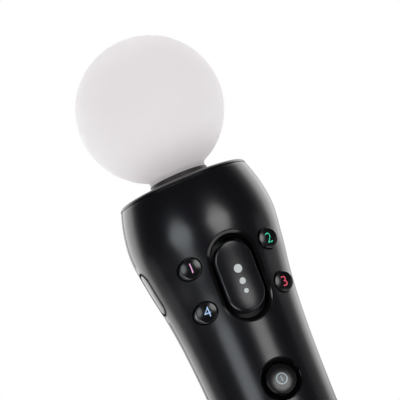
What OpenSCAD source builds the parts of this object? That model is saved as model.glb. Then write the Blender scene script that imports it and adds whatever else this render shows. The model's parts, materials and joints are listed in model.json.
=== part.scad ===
// Handheld motion controller wand: a black two-part handle with a soft white light sphere on top.
// Millimetres. The base stands on z = 0, the wand points up +Z, the button side faces -Y.

/* [Sphere and cap] */
// Height from the base to the top of the light sphere
total_h = 200; // [192:1:212]
// Diameter of the light sphere
sphere_d = 45; // [41:0.5:47]
// Wall of the light sphere
sphere_wall = 1.8; // [1.2:0.1:2.6]
// Diameter of the neck below the sphere
neck_d = 17.7; // [16.5:0.1:20]
// Height of the neck between the sphere and the collar
neck_h = 1.5; // [1:0.1:3]
// Height of the collar ring
collar_h = 1.9; // [1:0.1:2.4]
// Diameter of the sphere's stub inside the cap
stub_d = 14.8; // [13:0.1:15.4]
// Rise of the cap's shallow dome
cap_dome = 0.6; // [0.4:0.1:1.6]
// Diameter of the cap's top edge
cap_d = 36.4; // [34:0.2:38]
// Height from the cap's top edge down to the seam
cap_edge_h = 1.3; // [1.2:0.1:3]
// Depth of the cap's spigot in the handle
cap_spigot_h = 2.5; // [2.4:0.1:3]

/* [Handle outline] */
// Diameter of the handle at the cap seam
seam_d = 40.5; // [40:0.1:43]
// Diameter of the head at its widest ring
head_d = 46; // [45:0.2:49]
// Diameter of the shoulder below the widest ring
shoulder_d = 43.8; // [43:0.2:46]
// Diameter half way down the taper
taper_d = 40.3; // [39.5:0.2:42]
// Diameter at the foot of the taper
throat_d = 37.9; // [37:0.2:40]
// Diameter of the grip below the home button
grip_d = 36; // [35:0.2:38]
// Diameter of the grip's waist
waist_d = 34.8; // [34:0.2:37]
// Diameter of the handle just above the base
base_d = 37; // [36:0.2:39]
// Radius of the rounded edge round the base
base_round = 3; // [1.5:0.1:4]
// Wall of the two handle shells
wall = 2; // [1.6:0.1:2.4]

/* [Front buttons] */
// Width of the action button
action_w = 12; // [10.5:0.1:13]
// Length of the action button along the wand
action_l = 21.4; // [19:0.1:24]
// Depth of the action button's centre below the cap seam
action_drop = 32.1; // [30:0.1:34]
// Width of the moat round the action button
moat_gap = 1.85; // [1.7:0.05:2.6]
// Depth of the moat
moat_depth = 2.3; // [1.6:0.1:2.4]
// Slope of the moat's outer wall in degrees
moat_draft = 33; // [15:1:33]
// Extra room at each end of the moat
moat_end = 1.2; // [0.6:0.1:1.6]
// Depth of the thumb hollow along the action button
action_hollow = 0.2; // [0:0.05:0.6]
// Travel of the action button
action_travel = 1.2; // [0.8:0.1:1.4]
// Diameter of the four face buttons
face_d = 6.1; // [5.6:0.1:7]
// Gap between the moat and the face button holes
face_gap = 1.4; // [0.7:0.05:1.6]
// Height of the upper face buttons above the action button's centre
face_rise = 7.3; // [6.5:0.1:8]
// Depth of the lower face buttons below the action button's centre
face_fall = 6; // [5.5:0.1:7]
// How far the face buttons stand out of the handle
face_proud = 1.9; // [1.4:0.1:2.4]
// Radius of the face buttons' domed tops
face_dome = 12; // [8:0.5:16]
// Turn of their tops towards the side in degrees
face_turn = 15; // [5:1:25]
// Lean of their tops down the taper in degrees
face_lean = 5; // [0:1:10]
// Travel of the face buttons
face_travel = 1; // [0.7:0.1:1.2]
// Diameter of the home button
home_d = 9; // [8:0.1:10]
// Width of the dished ring round the home button
dish_gap = 1.85; // [1.6:0.05:2.6]
// Depth of the dished ring
dish_depth = 1.1; // [0.7:0.1:1.5]
// Depth of the home button's centre below the cap seam
home_drop = 64; // [62:0.5:66]
// Radius of the home button's domed top
home_dome = 20; // [14:1:40]
// Lean of its top up the wand in degrees
home_lean = 6; // [0:1:8]
// Travel of the home button
home_travel = 0.8; // [0.5:0.1:1]
// Running gap round every button
button_gap = 0.3; // [0.2:0.05:0.4]
// Width of the lip that holds a button in its hole
button_lip = 1.1; // [0.9:0.1:1.3]
// Thickness of that lip
lip_t = 1; // [0.8:0.1:1.2]

/* [Side buttons] */
// Width of a side button
side_w = 5.8; // [5:0.1:6.4]
// Length of a side button along the wand
side_l = 13.2; // [11:0.1:14]
// Depth of the side buttons' centre below the cap seam
side_drop = 26.5; // [25:0.5:28]
// Width of the shallow step round a side button
side_step = 0.7; // [0.5:0.05:0.9]
// Depth of that step
side_depth = 0.8; // [0.5:0.05:1]
// How far a side button stands out of the handle
side_proud = 0.2; // [0:0.05:0.5]
// Travel of a side button
side_travel = 0.8; // [0.5:0.05:0.9]

/* [Trigger] */
// Width of the trigger
trigger_w = 15.2; // [14:0.1:16]
// Depth of the trigger's top edge below the cap seam
trigger_top = 9; // [8.6:0.1:9.4]
// Depth of the trigger's lower lip below the cap seam
trigger_low = 42; // [40.5:0.1:43]
// How far the lower lip stands out of the handle
trigger_lip = 7; // [6.2:0.1:7.4]
// How far the finger hollow stands out of the handle
trigger_hollow = 4.3; // [3.8:0.1:4.8]
// How far the trigger's back stands out of the handle
trigger_crown = 3; // [2.4:0.1:3.4]
// Radius of the trigger's corners
trigger_round = 3; // [2:0.1:4]
// Wall of the trigger
trigger_wall = 2; // [1.6:0.1:2.4]
// Side gap between the trigger and its opening
trigger_gap = 0.5; // [0.4:0.05:0.7]
// Depth of the trigger's pivot inside the handle's surface
pivot_depth = 9; // [8.5:0.1:9.4]
// Depth of the pivot below the cap seam
pivot_drop = 10.5; // [10.3:0.1:11]
// Diameter of the pivot pin
pin_d = 2; // [1.8:0.1:2.4]
// Swing of the trigger in degrees
trigger_swing = 14; // [10:1:14]

/* [Inside] */
// Depth of the main board's front face behind the wand's axis line, towards the buttons
board_front = 7.5; // [7:0.1:7.8]
// Thickness of the circuit boards
board_t = 1.6; // [1:0.1:1.7]
// Gap between inner pieces and the shell wall
inner_gap = 0.6; // [0.5:0.05:0.8]
// Front face of the inner frame behind the wand's axis
frame_front = 1; // [0.8:0.1:1.2]
// Thickness of the inner frame's plate
frame_t = 1.6; // [1.4:0.1:2]
// Diameter of a screw boss
boss_d = 4.8; // [4.4:0.1:5]
// Diameter of a screw's shank
screw_d = 2.2; // [2:0.1:2.4]
// Diameter of a screw's head
head_screw_d = 4; // [3.6:0.1:4.2]
// Diameter of the vibration motor
motor_d = 10; // [9:0.1:10.6]
// Length of the vibration motor
motor_l = 17; // [14:0.5:18]

/* [Base end] */
// Height of the end cap
end_h = 9; // [8:0.5:10]
// Width of the charging socket
usb_w = 7.8; // [7:0.1:8.4]
// Depth of the charging socket from front to back
usb_d = 4.2; // [4:0.1:4.6]
// Width of the expansion socket
port_w = 12.4; // [11:0.1:13]
// Depth of the expansion socket from front to back
port_d = 5; // [4.6:0.1:5.4]
// Metal or moulded wall of both sockets
socket_wall = 0.5; // [0.4:0.05:0.7]
// Diameter of a charging contact
contact_d = 3.6; // [3:0.1:4]
// Diameter of the strap bar
strap_bar_d = 2.4; // [2:0.1:2.8]
// Width of the strap pocket
strap_w = 7; // [6:0.1:8]

/* [Hidden] */
$fn = 96;

// Colours
satin_black = [0.09, 0.09, 0.10];
gloss_black = [0.05, 0.05, 0.06];
soft_white = [0.90, 0.88, 0.89];
collar_brown = [0.22, 0.20, 0.20];
clear_resin = [0.85, 0.90, 0.92];
board_green = [0.10, 0.35, 0.20];
grey_rubber = [0.45, 0.45, 0.47];
steel = [0.72, 0.73, 0.75];
chip_black = [0.15, 0.15, 0.16];
frame_grey = [0.30, 0.31, 0.33];
brass_gold = [0.80, 0.65, 0.30];
battery_blue = [0.25, 0.32, 0.45];
ribbon_amber = [0.75, 0.50, 0.15];

// Longer than any cut needs to be
far = 60;
// Fits
slide_fit = 0.1;
running_fit = 0.05;
touch_gap = 0.1;
boss_clear = 0.3;

// Heights from the top down
sphere_z = total_h - sphere_d / 2;
neck_top_z = sphere_z - sqrt(pow(sphere_d / 2, 2) - pow(neck_d / 2, 2));
collar_top_z = neck_top_z - neck_h;
cap_top_z = collar_top_z - collar_h;
cap_edge_z = cap_top_z - cap_dome;
seam_z = cap_edge_z - cap_edge_h;
action_z = seam_z - action_drop;
home_z = seam_z - home_drop;
side_z = seam_z - side_drop;

// Stations of the handle's outline below the cap seam
head_drop = 12.8;
shoulder_drop = 24.4;
taper_drop = 35.2;
throat_drop = 46;
grip_drop = 64;
waist_z = 56;
outline = [
    [base_round, base_d / 2],
    [waist_z, waist_d / 2],
    [seam_z - grip_drop, grip_d / 2],
    [seam_z - throat_drop, throat_d / 2],
    [seam_z - taper_drop, taper_d / 2],
    [seam_z - shoulder_drop, shoulder_d / 2],
    [seam_z - head_drop, head_d / 2],
    [seam_z, seam_d / 2]];

// A smooth curve through stations of [height, radius]
function chord(s, i) = (s[i + 1][1] - s[i][1]) / (s[i + 1][0] - s[i][0]);
function tangent(s, i) =
    i == 0 ? chord(s, 0)
    : i == len(s) - 1 ? 2 * chord(s, i - 1) - tangent(s, i - 1)
    : (s[i + 1][1] - s[i - 1][1]) / (s[i + 1][0] - s[i - 1][0]);
function span_at(s, z, i = 0) = i >= len(s) - 2 || z < s[i + 1][0] ? i : span_at(s, z, i + 1);
function curve(s, z) =
    let (i = span_at(s, z), h = s[i + 1][0] - s[i][0], t = (z - s[i][0]) / h)
    (1 + 2 * t) * pow(1 - t, 2) * s[i][1] + t * pow(1 - t, 2) * h * tangent(s, i)
    + t * t * (3 - 2 * t) * s[i + 1][1] + t * t * (t - 1) * h * tangent(s, i + 1);
function body_r(z) = curve(outline, z);
// Half the width inside the shells at height z and distance y from the axis plane
function inside_half(z, y, gap) = sqrt(pow(body_r(z) - wall - gap, 2) - y * y);

// Solid turned from a curve, between two heights, grown or shrunk by off
module turned(s, off, z0, z1, steps) {
    rotate_extrude()
        polygon(concat(
            [[0, z0]],
            [for (i = [0 : steps]) let (z = z0 + (z1 - z0) * i / steps) [curve(s, z) + off, z]],
            [[0, z1]]));
}

// The handle's outer form from the end cap to the cap seam
outline_steps = 38;
module handle(off) {
    turned(outline, off, end_h, seam_z, outline_steps);
}

// The layer of the handle between two depths below its surface
module layer(outer, inner) {
    difference() {
        handle(-outer);
        translate([0, 0, -touch_gap])
            turned(outline, -inner, end_h, seam_z + 2 * touch_gap, outline_steps);
    }
}

// Long hole with round ends, length along the second axis
module stadium(w, l) {
    square([w, l - w], center = true);
    for (s = [-1, 1])
        translate([0, s * (l - w) / 2]) circle(d = w);
}

// Rectangle with round corners
module rounded_rect(w, h, r) {
    square([w, h - 2 * r], center = true);
    square([w - 2 * r, h], center = true);
    for (sx = [-1, 1], sy = [-1, 1])
        translate([sx * (w / 2 - r), sy * (h / 2 - r)]) circle(r = r);
}

// Prism of a stadium that runs out of the front
module stadium_front(w, l, z) {
    translate([0, 0, z]) rotate([90, 0, 0]) linear_extrude(far) stadium(w, l);
}

// Prism of a stadium that runs out of one side, side = -1 left or 1 right
module stadium_side(w, l, side) {
    translate([side > 0 ? 0 : -far, 0, side_z]) rotate([90, 0, 90]) linear_extrude(far) stadium(w, l);
}

// Cylinder along +Y between two depths
module rod_y(d, x, z, y0, y1) {
    translate([x, y0, z]) rotate([-90, 0, 0]) cylinder(d = d, h = y1 - y0);
}

// Cylinder along +X
module rod_x(d, y, z, x0, x1) {
    translate([x0, y, z]) rotate([0, 90, 0]) cylinder(d = d, h = x1 - x0);
}

// Places shared by several pieces
moat_w = action_w + 2 * moat_gap;
moat_l = action_l + 2 * (moat_gap + moat_end);
face_x = moat_w / 2 + face_gap + face_d / 2 + button_gap;
face_places = [[-1, 1], [1, 1], [-1, -1], [1, -1]];
function face_z(up) = action_z + (up > 0 ? face_rise : -face_fall);
dish_d = home_d + 2 * dish_gap;
tub_floor = 1.4;
tub_depth = moat_depth + tub_floor;
tub_w = moat_w + 2 * tub_floor;
tub_l = moat_l + 2 * tub_floor;
dish_floor = dish_depth + tub_floor;

// Board screws in the front shell
board_screw_x = 12;
board_screw_drop = 13.5;
low_board_screw_x = 9;
low_board_screw_drop = 52.5;
board_places = [
    for (side = [-1, 1]) [side * board_screw_x, seam_z - board_screw_drop],
    for (side = [-1, 1]) [side * low_board_screw_x, seam_z - low_board_screw_drop]];
board_screw_grip = 4;
board_head_h = 1.4;
pilot_more = 1;
board_rear = board_front - board_t;
board_top_drop = 9.4;
board_low_drop = 71.5;
board_top_z = seam_z - board_top_drop;
board_low_z = seam_z - board_low_drop;
board_h = board_top_z - board_low_z;
pilot_d = screw_d + slide_fit;

// Shell screws: two in the head, one below the board, two above the base
rear_boss_wall = 1;
rear_boss_d = boss_d + 2 * rear_boss_wall;
end_spigot_h = 1.6;
mid_screw_drop = 76;
mid_screw_z = seam_z - mid_screw_drop;
low_screw_z = end_h + end_spigot_h + rear_boss_d / 2 + boss_clear;
top_screw_z = seam_z - cap_spigot_h - rear_boss_d / 2 - boss_clear;
top_screw_x = 14;
low_screw_x = 10.5;
shell_places = [[-top_screw_x, top_screw_z], [top_screw_x, top_screw_z], [0, mid_screw_z],
    [-low_screw_x, low_screw_z], [low_screw_x, low_screw_z]];
frame_rear = frame_front + frame_t;
screw_seat_h = 3.4;
screw_seat_y = frame_rear + screw_seat_h;
screw_l = 13;
screw_head_h = 1.6;
cross_l = 2.4;
cross_w = 0.6;

// Dome contacts under the front buttons
dome_d = 4.4;
sheet_t = 0.6;
function dome_top(travel) = board_front + sheet_t + travel;

// Trigger outline and opening
trigger_top_z = seam_z - trigger_top;
trigger_low_z = seam_z - trigger_low;
trigger_h = trigger_top_z - trigger_low_z;
trigger_curve = [
    [trigger_low_z, body_r(trigger_low_z) + trigger_lip],
    [trigger_low_z + 0.2 * trigger_h, body_r(trigger_low_z + 0.2 * trigger_h) + trigger_hollow],
    [trigger_low_z + 0.5 * trigger_h, body_r(trigger_low_z + 0.5 * trigger_h) + trigger_crown],
    [trigger_low_z + 0.8 * trigger_h, body_r(trigger_low_z + 0.8 * trigger_h) + trigger_crown / 2],
    [trigger_top_z, body_r(trigger_top_z)]];
trigger_steps = 14;
trigger_tuck = 1;
trigger_inner_y = sqrt(pow(body_r(trigger_low_z) - wall, 2) - pow(trigger_w / 2, 2)) - trigger_tuck;
pivot_z = seam_z - pivot_drop;
pivot_y = body_r(pivot_z) - pivot_depth;
opening_top_z = trigger_top_z + trigger_gap;
// The lip's lowest point when the trigger is fully pulled
lip_reach = body_r(trigger_low_z) + trigger_lip - pivot_y;
lip_drop = pivot_z - trigger_low_z;
opening_low_z = pivot_z - lip_drop * cos(trigger_swing) - lip_reach * sin(trigger_swing) - 2 * trigger_gap;
opening_half = trigger_w / 2 + trigger_gap;
hub_wall = 1.6;
hub_d = pin_d + 2 * hub_wall;
trigger_arm = pivot_depth - trigger_wall / 2;
ear_t = 2.6;
ear_x0 = opening_half + 2 * slide_fit;

// Trigger spring
spring_z = trigger_low_z + 0.24 * trigger_h;
spring_r = 2.3;
wire_r = 0.3;
spring_turns = 7;
spring_seat_h = 2.4;
spring_seat_rim = 0.4;
spring_y0 = frame_rear + spring_seat_h;
spring_top_r = curve(trigger_curve, spring_z) - trigger_wall;
spring_y1 = sqrt(pow(spring_top_r, 2) - pow(spring_r + wire_r, 2)) - boss_clear;

// Motor behind the inner frame
motor_rise = 2.2;
motor_z0 = mid_screw_z + boss_d / 2 + motor_rise;
motor_y = frame_rear + motor_d / 2 + inner_gap;
shaft_d = 1.5;
weight_d = 9.2;
weight_h = 6;
weight_gap = 1.4;
weight_z = motor_z0 + motor_l + weight_gap;

// Battery between the lower and middle screws, its width set by the waist
battery_gap = 1;
battery_top_gap = 2.8;
battery_z0 = low_screw_z + boss_d / 2 + battery_gap;
battery_z1 = mid_screw_z - boss_d / 2 - battery_top_gap;
battery_front = board_front - touch_gap;
battery_w = 2 * inside_half(waist_z, battery_front, inner_gap);
battery_round = 2;

// Ribbon from the end board to the main board
ribbon_w = 4.2;
ribbon_t = 0.3;
ribbon_x = 3.2;
ribbon_lap = 4;
ribbon_clear = 0.5;

// Parting line: the front shell wraps round the side buttons
side_wrap = 2.2;
module front_side() {
    translate([-far, -2 * far, -far]) cube([2 * far, 2 * far, 5 * far]);
    translate([0, 0, side_z]) rotate([90, 0, 90]) linear_extrude(far, center = true)
        stadium(side_w + 2 * (side_step + side_wrap), side_l + 2 * (side_step + side_wrap));
}

// The moat's cutter lies along the taper: a wedge between two cones, as deep as the moat
moat_tilt = atan((body_r(action_z + moat_l / 2) - body_r(action_z - moat_l / 2)) / moat_l);
moat_side_drop = body_r(action_z) - sqrt(pow(body_r(action_z), 2) - pow(moat_w / 2, 2));
moat_face_r = moat_w / 2 + moat_side_drop * tan(moat_draft);
moat_reach = moat_side_drop + moat_depth + wall;
moat_outer_r = moat_face_r + wall * tan(moat_draft);
moat_inner_r = moat_face_r - moat_reach * tan(moat_draft);
moat_straight = moat_l / 2 - moat_face_r;
module moat_cutter() translate([0, -body_r(action_z), action_z]) rotate([moat_tilt, 0, 0]) {
    for (s = [-1, 1])
        translate([0, -wall, s * moat_straight]) rotate([-90, 0, 0])
            cylinder(r1 = moat_outer_r, r2 = moat_inner_r, h = wall + moat_reach);
    translate([0, 0, -moat_straight]) linear_extrude(2 * moat_straight)
        polygon([[-moat_outer_r, -wall], [moat_outer_r, -wall],
            [moat_inner_r, moat_reach], [-moat_inner_r, moat_reach]]);
}

module front_boss(x, z, d, y_end) {
    intersection() {
        rod_y(d, x, z, -far, y_end);
        handle(-wall / 2);
    }
}

module rear_boss(x, z, d, y_start) {
    intersection() {
        rod_y(d, x, z, y_start, far);
        handle(-wall / 2);
    }
}

module front_shell() color(satin_black) difference() {
    union() {
        intersection() {
            layer(0, wall);
            front_side();
        }
        // Tubs that carry the moat and the dished ring
        intersection() {
            layer(wall / 2, tub_depth);
            stadium_front(tub_w, tub_l, action_z);
        }
        intersection() {
            layer(wall / 2, dish_floor);
            rod_y(dish_d + 2 * tub_floor, 0, home_z, -far, 0);
        }
        for (p = board_places) front_boss(p[0], p[1], boss_d, -board_front);
        for (p = shell_places) front_boss(p[0], p[1], boss_d, frame_front);
    }
    // Moat, dished ring and the shallow steps of the side buttons
    intersection() {
        layer(-wall, moat_depth);
        moat_cutter();
    }
    intersection() {
        layer(-wall, dish_depth);
        rod_y(dish_d, 0, home_z, -far, 0);
    }
    for (side = [-1, 1]) {
        intersection() {
            layer(-wall, side_depth);
            stadium_side(side_w + 2 * side_step, side_l + 2 * side_step, side);
        }
        stadium_side(side_w + 2 * button_gap, side_l + 2 * button_gap, side);
    }
    // Button holes
    stadium_front(action_w + 2 * button_gap, action_l + 2 * button_gap, action_z);
    rod_y(home_d + 2 * button_gap, 0, home_z, -far, -board_front - sheet_t);
    for (p = face_places)
        rod_y(face_d + 2 * button_gap, p[0] * face_x, face_z(p[1]), -far, -board_front - sheet_t);
    // Pilot holes
    for (p = board_places) rod_y(pilot_d, p[0], p[1], -board_front - board_screw_grip - pilot_more, 0);
    for (p = shell_places) rod_y(pilot_d, p[0], p[1], screw_seat_y - screw_l - pilot_more, far);
}

module rear_shell() color(satin_black) difference() {
    union() {
        difference() {
            layer(0, wall);
            front_side();
        }
        for (p = shell_places) rear_boss(p[0], p[1], rear_boss_d, frame_rear);
        // Ears that hold the trigger's pin
        intersection() {
            handle(-wall / 2);
            for (side = [-1, 1])
                translate([side * (ear_x0 + ear_t / 2), 0, 0]) {
                    rod_x(hub_d, pivot_y, pivot_z, -ear_t / 2, ear_t / 2);
                    translate([-ear_t / 2, pivot_y, pivot_z - hub_d / 2]) cube([ear_t, far, hub_d]);
                }
        }
    }
    // Trigger opening
    translate([-opening_half, frame_rear + 1, opening_low_z])
        cube([2 * opening_half, far, opening_top_z - opening_low_z]);
    // Sunk screw holes
    for (p = shell_places) {
        rod_y(head_screw_d + 2 * boss_clear, p[0], p[1], screw_seat_y, far);
        rod_y(pilot_d, p[0], p[1], 0, far);
    }
    rod_x(pin_d + running_fit, pivot_y, pivot_z, -ear_x0 - ear_t, ear_x0 + ear_t);
}

// Turned cap with a spigot that drops into the handle
cap_under_z = seam_z + 0.4;
spigot_r = seam_d / 2 - wall - slide_fit;
spigot_wall = 1.6;
cap_hole_d = stub_d + 2 * slide_fit;
module top_cap() color(gloss_black) difference() {
    union() {
        rotate_extrude()
            polygon(concat(
                [[0, cap_under_z], [spigot_r - spigot_wall, cap_under_z],
                 [spigot_r - spigot_wall, seam_z - cap_spigot_h], [spigot_r, seam_z - cap_spigot_h],
                 [spigot_r, seam_z], [seam_d / 2, seam_z]],
                [for (a = [0 : 15 : 90])
                    [cap_d / 2 + (seam_d - cap_d) / 2 * cos(a), seam_z + cap_edge_h * sin(a)]],
                [for (t = [0.25 : 0.25 : 1])
                    [cap_d / 2 * (1 - t), cap_edge_z + cap_dome * (1 - pow(1 - t, 2))]]));
        for (side = [-1, 1])
            translate([0, side * led_screw_y, led_board_top])
                cylinder(d = boss_d, h = cap_under_z - led_board_top);
    }
    translate([0, 0, seam_z - far / 2]) cylinder(d = cap_hole_d, h = far);
    for (side = [-1, 1])
        translate([0, side * led_screw_y, led_board_top - 1]) cylinder(d = pilot_d, h = 2.2);
}

collar_foot = 0.7;
collar_rim = 0.3;
module collar_ring() color(collar_brown)
    translate([0, 0, cap_top_z]) difference() {
        union() {
            cylinder(h = 0.5 * collar_h, d1 = neck_d + 2 * collar_foot,
                d2 = neck_d + collar_foot + collar_rim);
            cylinder(d = neck_d + 2 * collar_rim, h = collar_h);
        }
        translate([0, 0, -1]) cylinder(d = cap_hole_d, h = far);
    }

// Hollow soft sphere with its neck and the stub that plugs into the cap
module light_sphere() color(soft_white) difference() {
    union() {
        translate([0, 0, sphere_z]) sphere(d = sphere_d, $fn = 128);
        translate([0, 0, collar_top_z]) cylinder(d = neck_d, h = neck_top_z - collar_top_z + sphere_wall);
        translate([0, 0, cap_under_z]) cylinder(d = stub_d, h = neck_top_z - cap_under_z);
    }
    translate([0, 0, sphere_z]) sphere(d = sphere_d - 2 * sphere_wall, $fn = 128);
    translate([0, 0, cap_under_z - 1]) cylinder(d = stub_d - 2 * sphere_wall, h = sphere_z - cap_under_z);
}

// Clear rod that carries the light up into the sphere
guide_d = stub_d - 2 * sphere_wall - 2 * slide_fit;
guide_top_z = neck_top_z + 3;
module light_guide() color(clear_resin) {
    translate([0, 0, led_top]) cylinder(d = guide_d, h = guide_top_z - led_top);
    translate([0, 0, guide_top_z]) intersection() {
        sphere(d = guide_d);
        cylinder(d = guide_d + 1, h = guide_d);
    }
}

// Round board with the coloured lamp, screwed up into the cap
led_board_drop = 1.1;
led_board_top = seam_z - led_board_drop;
led_board_t = 1;
led_board_gap = 0.5;
led_board_d = 2 * (spigot_r - spigot_wall - led_board_gap);
led_screw_y = 11.6;
led_w = 5;
led_base_h = 0.8;
led_lens_h = 1.2;
led_top = led_board_top + led_lens_h;
module led_board() color(board_green) difference() {
    translate([0, 0, led_board_top - led_board_t]) cylinder(d = led_board_d, h = led_board_t);
    for (side = [-1, 1])
        translate([0, side * led_screw_y, led_board_top - 2]) cylinder(d = pilot_d, h = 3);
}

module led_package() color(soft_white) translate([0, 0, led_board_top]) {
    translate([-led_w / 2, -led_w / 2, 0]) cube([led_w, led_w, led_base_h]);
    cylinder(d = led_w - 1, h = led_top - led_board_top);
}

led_screw_head_h = 0.9;
module led_board_screws() color(steel)
    for (side = [-1, 1])
        translate([0, side * led_screw_y, led_board_top - led_board_t]) {
            translate([0, 0, -led_screw_head_h]) cylinder(d = head_screw_d - 0.6, h = led_screw_head_h);
            cylinder(d = screw_d, h = led_board_t + 1);
        }

led_ribbon_w = 7;
led_ribbon_lap = 3;
module led_ribbon() color(ribbon_amber)
    translate([-led_ribbon_w / 2, -board_rear, board_top_z - led_ribbon_lap])
        cube([led_ribbon_w, ribbon_t, led_board_top - led_board_t - board_top_z + led_ribbon_lap]);

// A front button: a prism cut to the handle's form, with a lip under the shell
module button_stem(d, x, z, travel) {
    rod_y(d, x, z, -far, -dome_top(travel) - touch_gap);
}

// Follows the taper, with a slight hollow for the thumb
action_half = action_l / 2 + button_gap;
action_curve = [
    [action_z - action_half, body_r(action_z - action_half)],
    [action_z, body_r(action_z) - action_hollow],
    [action_z + action_half, body_r(action_z + action_half)]];
action_steps = 12;
module action_button() color(satin_black) {
    lip_depth = tub_depth + touch_gap;
    intersection() {
        stadium_front(action_w, action_l, action_z);
        difference() {
            turned(action_curve, 0, action_z - action_half, action_z + action_half, action_steps);
            handle(-lip_depth - lip_t);
        }
    }
    intersection() {
        stadium_front(action_w + 2 * button_lip, action_l + 2 * button_lip, action_z);
        layer(lip_depth, lip_depth + lip_t);
    }
    intersection() {
        button_stem(dome_d, 0, action_z, action_travel);
        handle(-lip_depth);
    }
}

module face_button(p) color(gloss_black) {
    x = p[0] * face_x;
    z = face_z(p[1]);
    lip_depth = wall + touch_gap;
    top_y = -sqrt(pow(body_r(z), 2) - x * x) - face_proud;
    intersection() {
        button_stem(face_d, x, z, face_travel);
        union() {
            handle(-wall);
            // Dome that looks more to the front than the handle's surface does
            translate([x, top_y, z]) rotate([face_lean, 0, p[0] * face_turn])
                translate([0, face_dome, 0]) sphere(r = face_dome);
        }
    }
    // The lip stops short of the tub under the moat
    difference() {
        intersection() {
            button_stem(face_d + 2 * (button_gap + button_lip), x, z, face_travel);
            layer(lip_depth, lip_depth + lip_t);
        }
        stadium_front(tub_w + 2 * button_gap, tub_l + 2 * button_gap, action_z);
    }
}
module face_button_upper_left() face_button(face_places[0]);
module face_button_upper_right() face_button(face_places[1]);
module face_button_lower_left() face_button(face_places[2]);
module face_button_lower_right() face_button(face_places[3]);

module home_button() color(gloss_black) {
    lip_depth = dish_floor + touch_gap;
    intersection() {
        button_stem(home_d, 0, home_z, home_travel);
        difference() {
            translate([0, -body_r(home_z), home_z]) rotate([-home_lean, 0, 0])
                translate([0, home_dome, 0]) sphere(r = home_dome);
            handle(-lip_depth - lip_t);
        }
    }
    intersection() {
        button_stem(home_d + 2 * (button_gap + button_lip), 0, home_z, home_travel);
        layer(lip_depth, lip_depth + lip_t);
    }
    intersection() {
        button_stem(dome_d, 0, home_z, home_travel);
        handle(-lip_depth);
    }
}

// A side button: stadium cap with a lip inside and a peg that reaches its switch
switch_rise = 2.6;
switch_y = -board_rear + switch_rise;
switch_half = 3.4;
switch_l = 6;
switch_depth = 4;
peg_d = 2.4;
side_lip_w = side_w + 2 * (button_gap + button_lip);
side_lip_l = side_l + 2 * (button_gap + button_lip);
switch_inset = 2.4;
switch_x = inside_half(side_z, board_front, inner_gap) - switch_inset;
plunger_d = 1.6;
plunger_l = 1;
plunger_tip = switch_x + plunger_l;
module side_button(side) color(satin_black) {
    lip_depth = wall + touch_gap;
    intersection() {
        stadium_side(side_w, side_l, side);
        layer(-side_proud, lip_depth + lip_t);
    }
    intersection() {
        stadium_side(side_lip_w, side_lip_l, side);
        layer(lip_depth, lip_depth + lip_t);
    }
    intersection() {
        rod_x(peg_d, switch_y, side_z, side > 0 ? plunger_tip + side_travel + touch_gap : -far,
            side > 0 ? far : -plunger_tip - side_travel - touch_gap);
        handle(-lip_depth);
    }
}
module left_side_button() side_button(-1);
module right_side_button() side_button(1);

module side_switches() color(steel)
    for (side = [-1, 1]) {
        translate([side > 0 ? switch_x - switch_half : -switch_x, -board_rear, side_z - switch_l / 2])
            cube([switch_half, switch_depth, switch_l]);
        rod_x(plunger_d, switch_y, side_z,
            side > 0 ? switch_x : -plunger_tip, side > 0 ? plunger_tip : -switch_x);
    }

// Board outline that follows the inside of the shells
board_steps = 12;
module board_outline(z0, z1, depth, gap)
    polygon(concat(
        [for (i = [0 : board_steps])
            let (z = z0 + (z1 - z0) * i / board_steps) [inside_half(z, depth, gap), z]],
        [for (i = [board_steps : -1 : 0])
            let (z = z0 + (z1 - z0) * i / board_steps) [-inside_half(z, depth, gap), z]]));

module main_board() color(board_green) difference() {
    translate([0, -board_rear, 0]) rotate([90, 0, 0]) linear_extrude(board_t)
        board_outline(board_low_z, board_top_z, board_front, inner_gap);
    for (p = board_places) rod_y(pilot_d, p[0], p[1], -far, far);
}

module board_screws() color(steel)
    for (p = board_places) {
        rod_y(screw_d, p[0], p[1], -board_front - board_screw_grip, -board_rear);
        rod_y(head_screw_d, p[0], p[1], -board_rear, -board_rear + board_head_h);
    }

// Rubber sheet with a dome under each front button
keypad_low_z = home_z - dome_d;
keypad_top_z = face_z(1) + dome_d;
module keypad() color(grey_rubber) {
    difference() {
        translate([0, -board_front, 0]) rotate([90, 0, 0]) linear_extrude(sheet_t)
            board_outline(keypad_low_z, keypad_top_z, board_front + sheet_t, inner_gap);
        for (p = board_places) rod_y(boss_d + 2 * boss_clear, p[0], p[1], -far, far);
        // Clear of the ribbon's end
        translate([ribbon_x - ribbon_clear, -far, 0])
            cube([ribbon_w + 2 * ribbon_clear, far, board_low_z + ribbon_lap + ribbon_clear]);
    }
    rod_y(dome_d, 0, action_z, -dome_top(action_travel), -board_front);
    rod_y(dome_d, 0, home_z, -dome_top(home_travel), -board_front);
    for (p = face_places)
        rod_y(dome_d, p[0] * face_x, face_z(p[1]), -dome_top(face_travel), -board_front);
}

// Processor, motion sensors and power chips on the board's rear
processor_w = 9;
power_chip_w = 5.5;
sensor_w = 4;
chip_t = 1.1;
chip_x = 5.5;
upper_chip_z = board_top_z - 0.34 * board_h;
lower_chip_z = board_low_z + 0.17 * board_h;
module chip(x, z, w) translate([x - w / 2, -board_rear, z - w / 2]) cube([w, chip_t, w]);
module board_chips() color(chip_black) {
    chip(-chip_x, upper_chip_z, processor_w);
    chip(chip_x, upper_chip_z, power_chip_w);
    chip(-chip_x, lower_chip_z, sensor_w);
    chip(0, lower_chip_z, sensor_w);
    chip(chip_x, lower_chip_z, power_chip_w);
}

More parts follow.
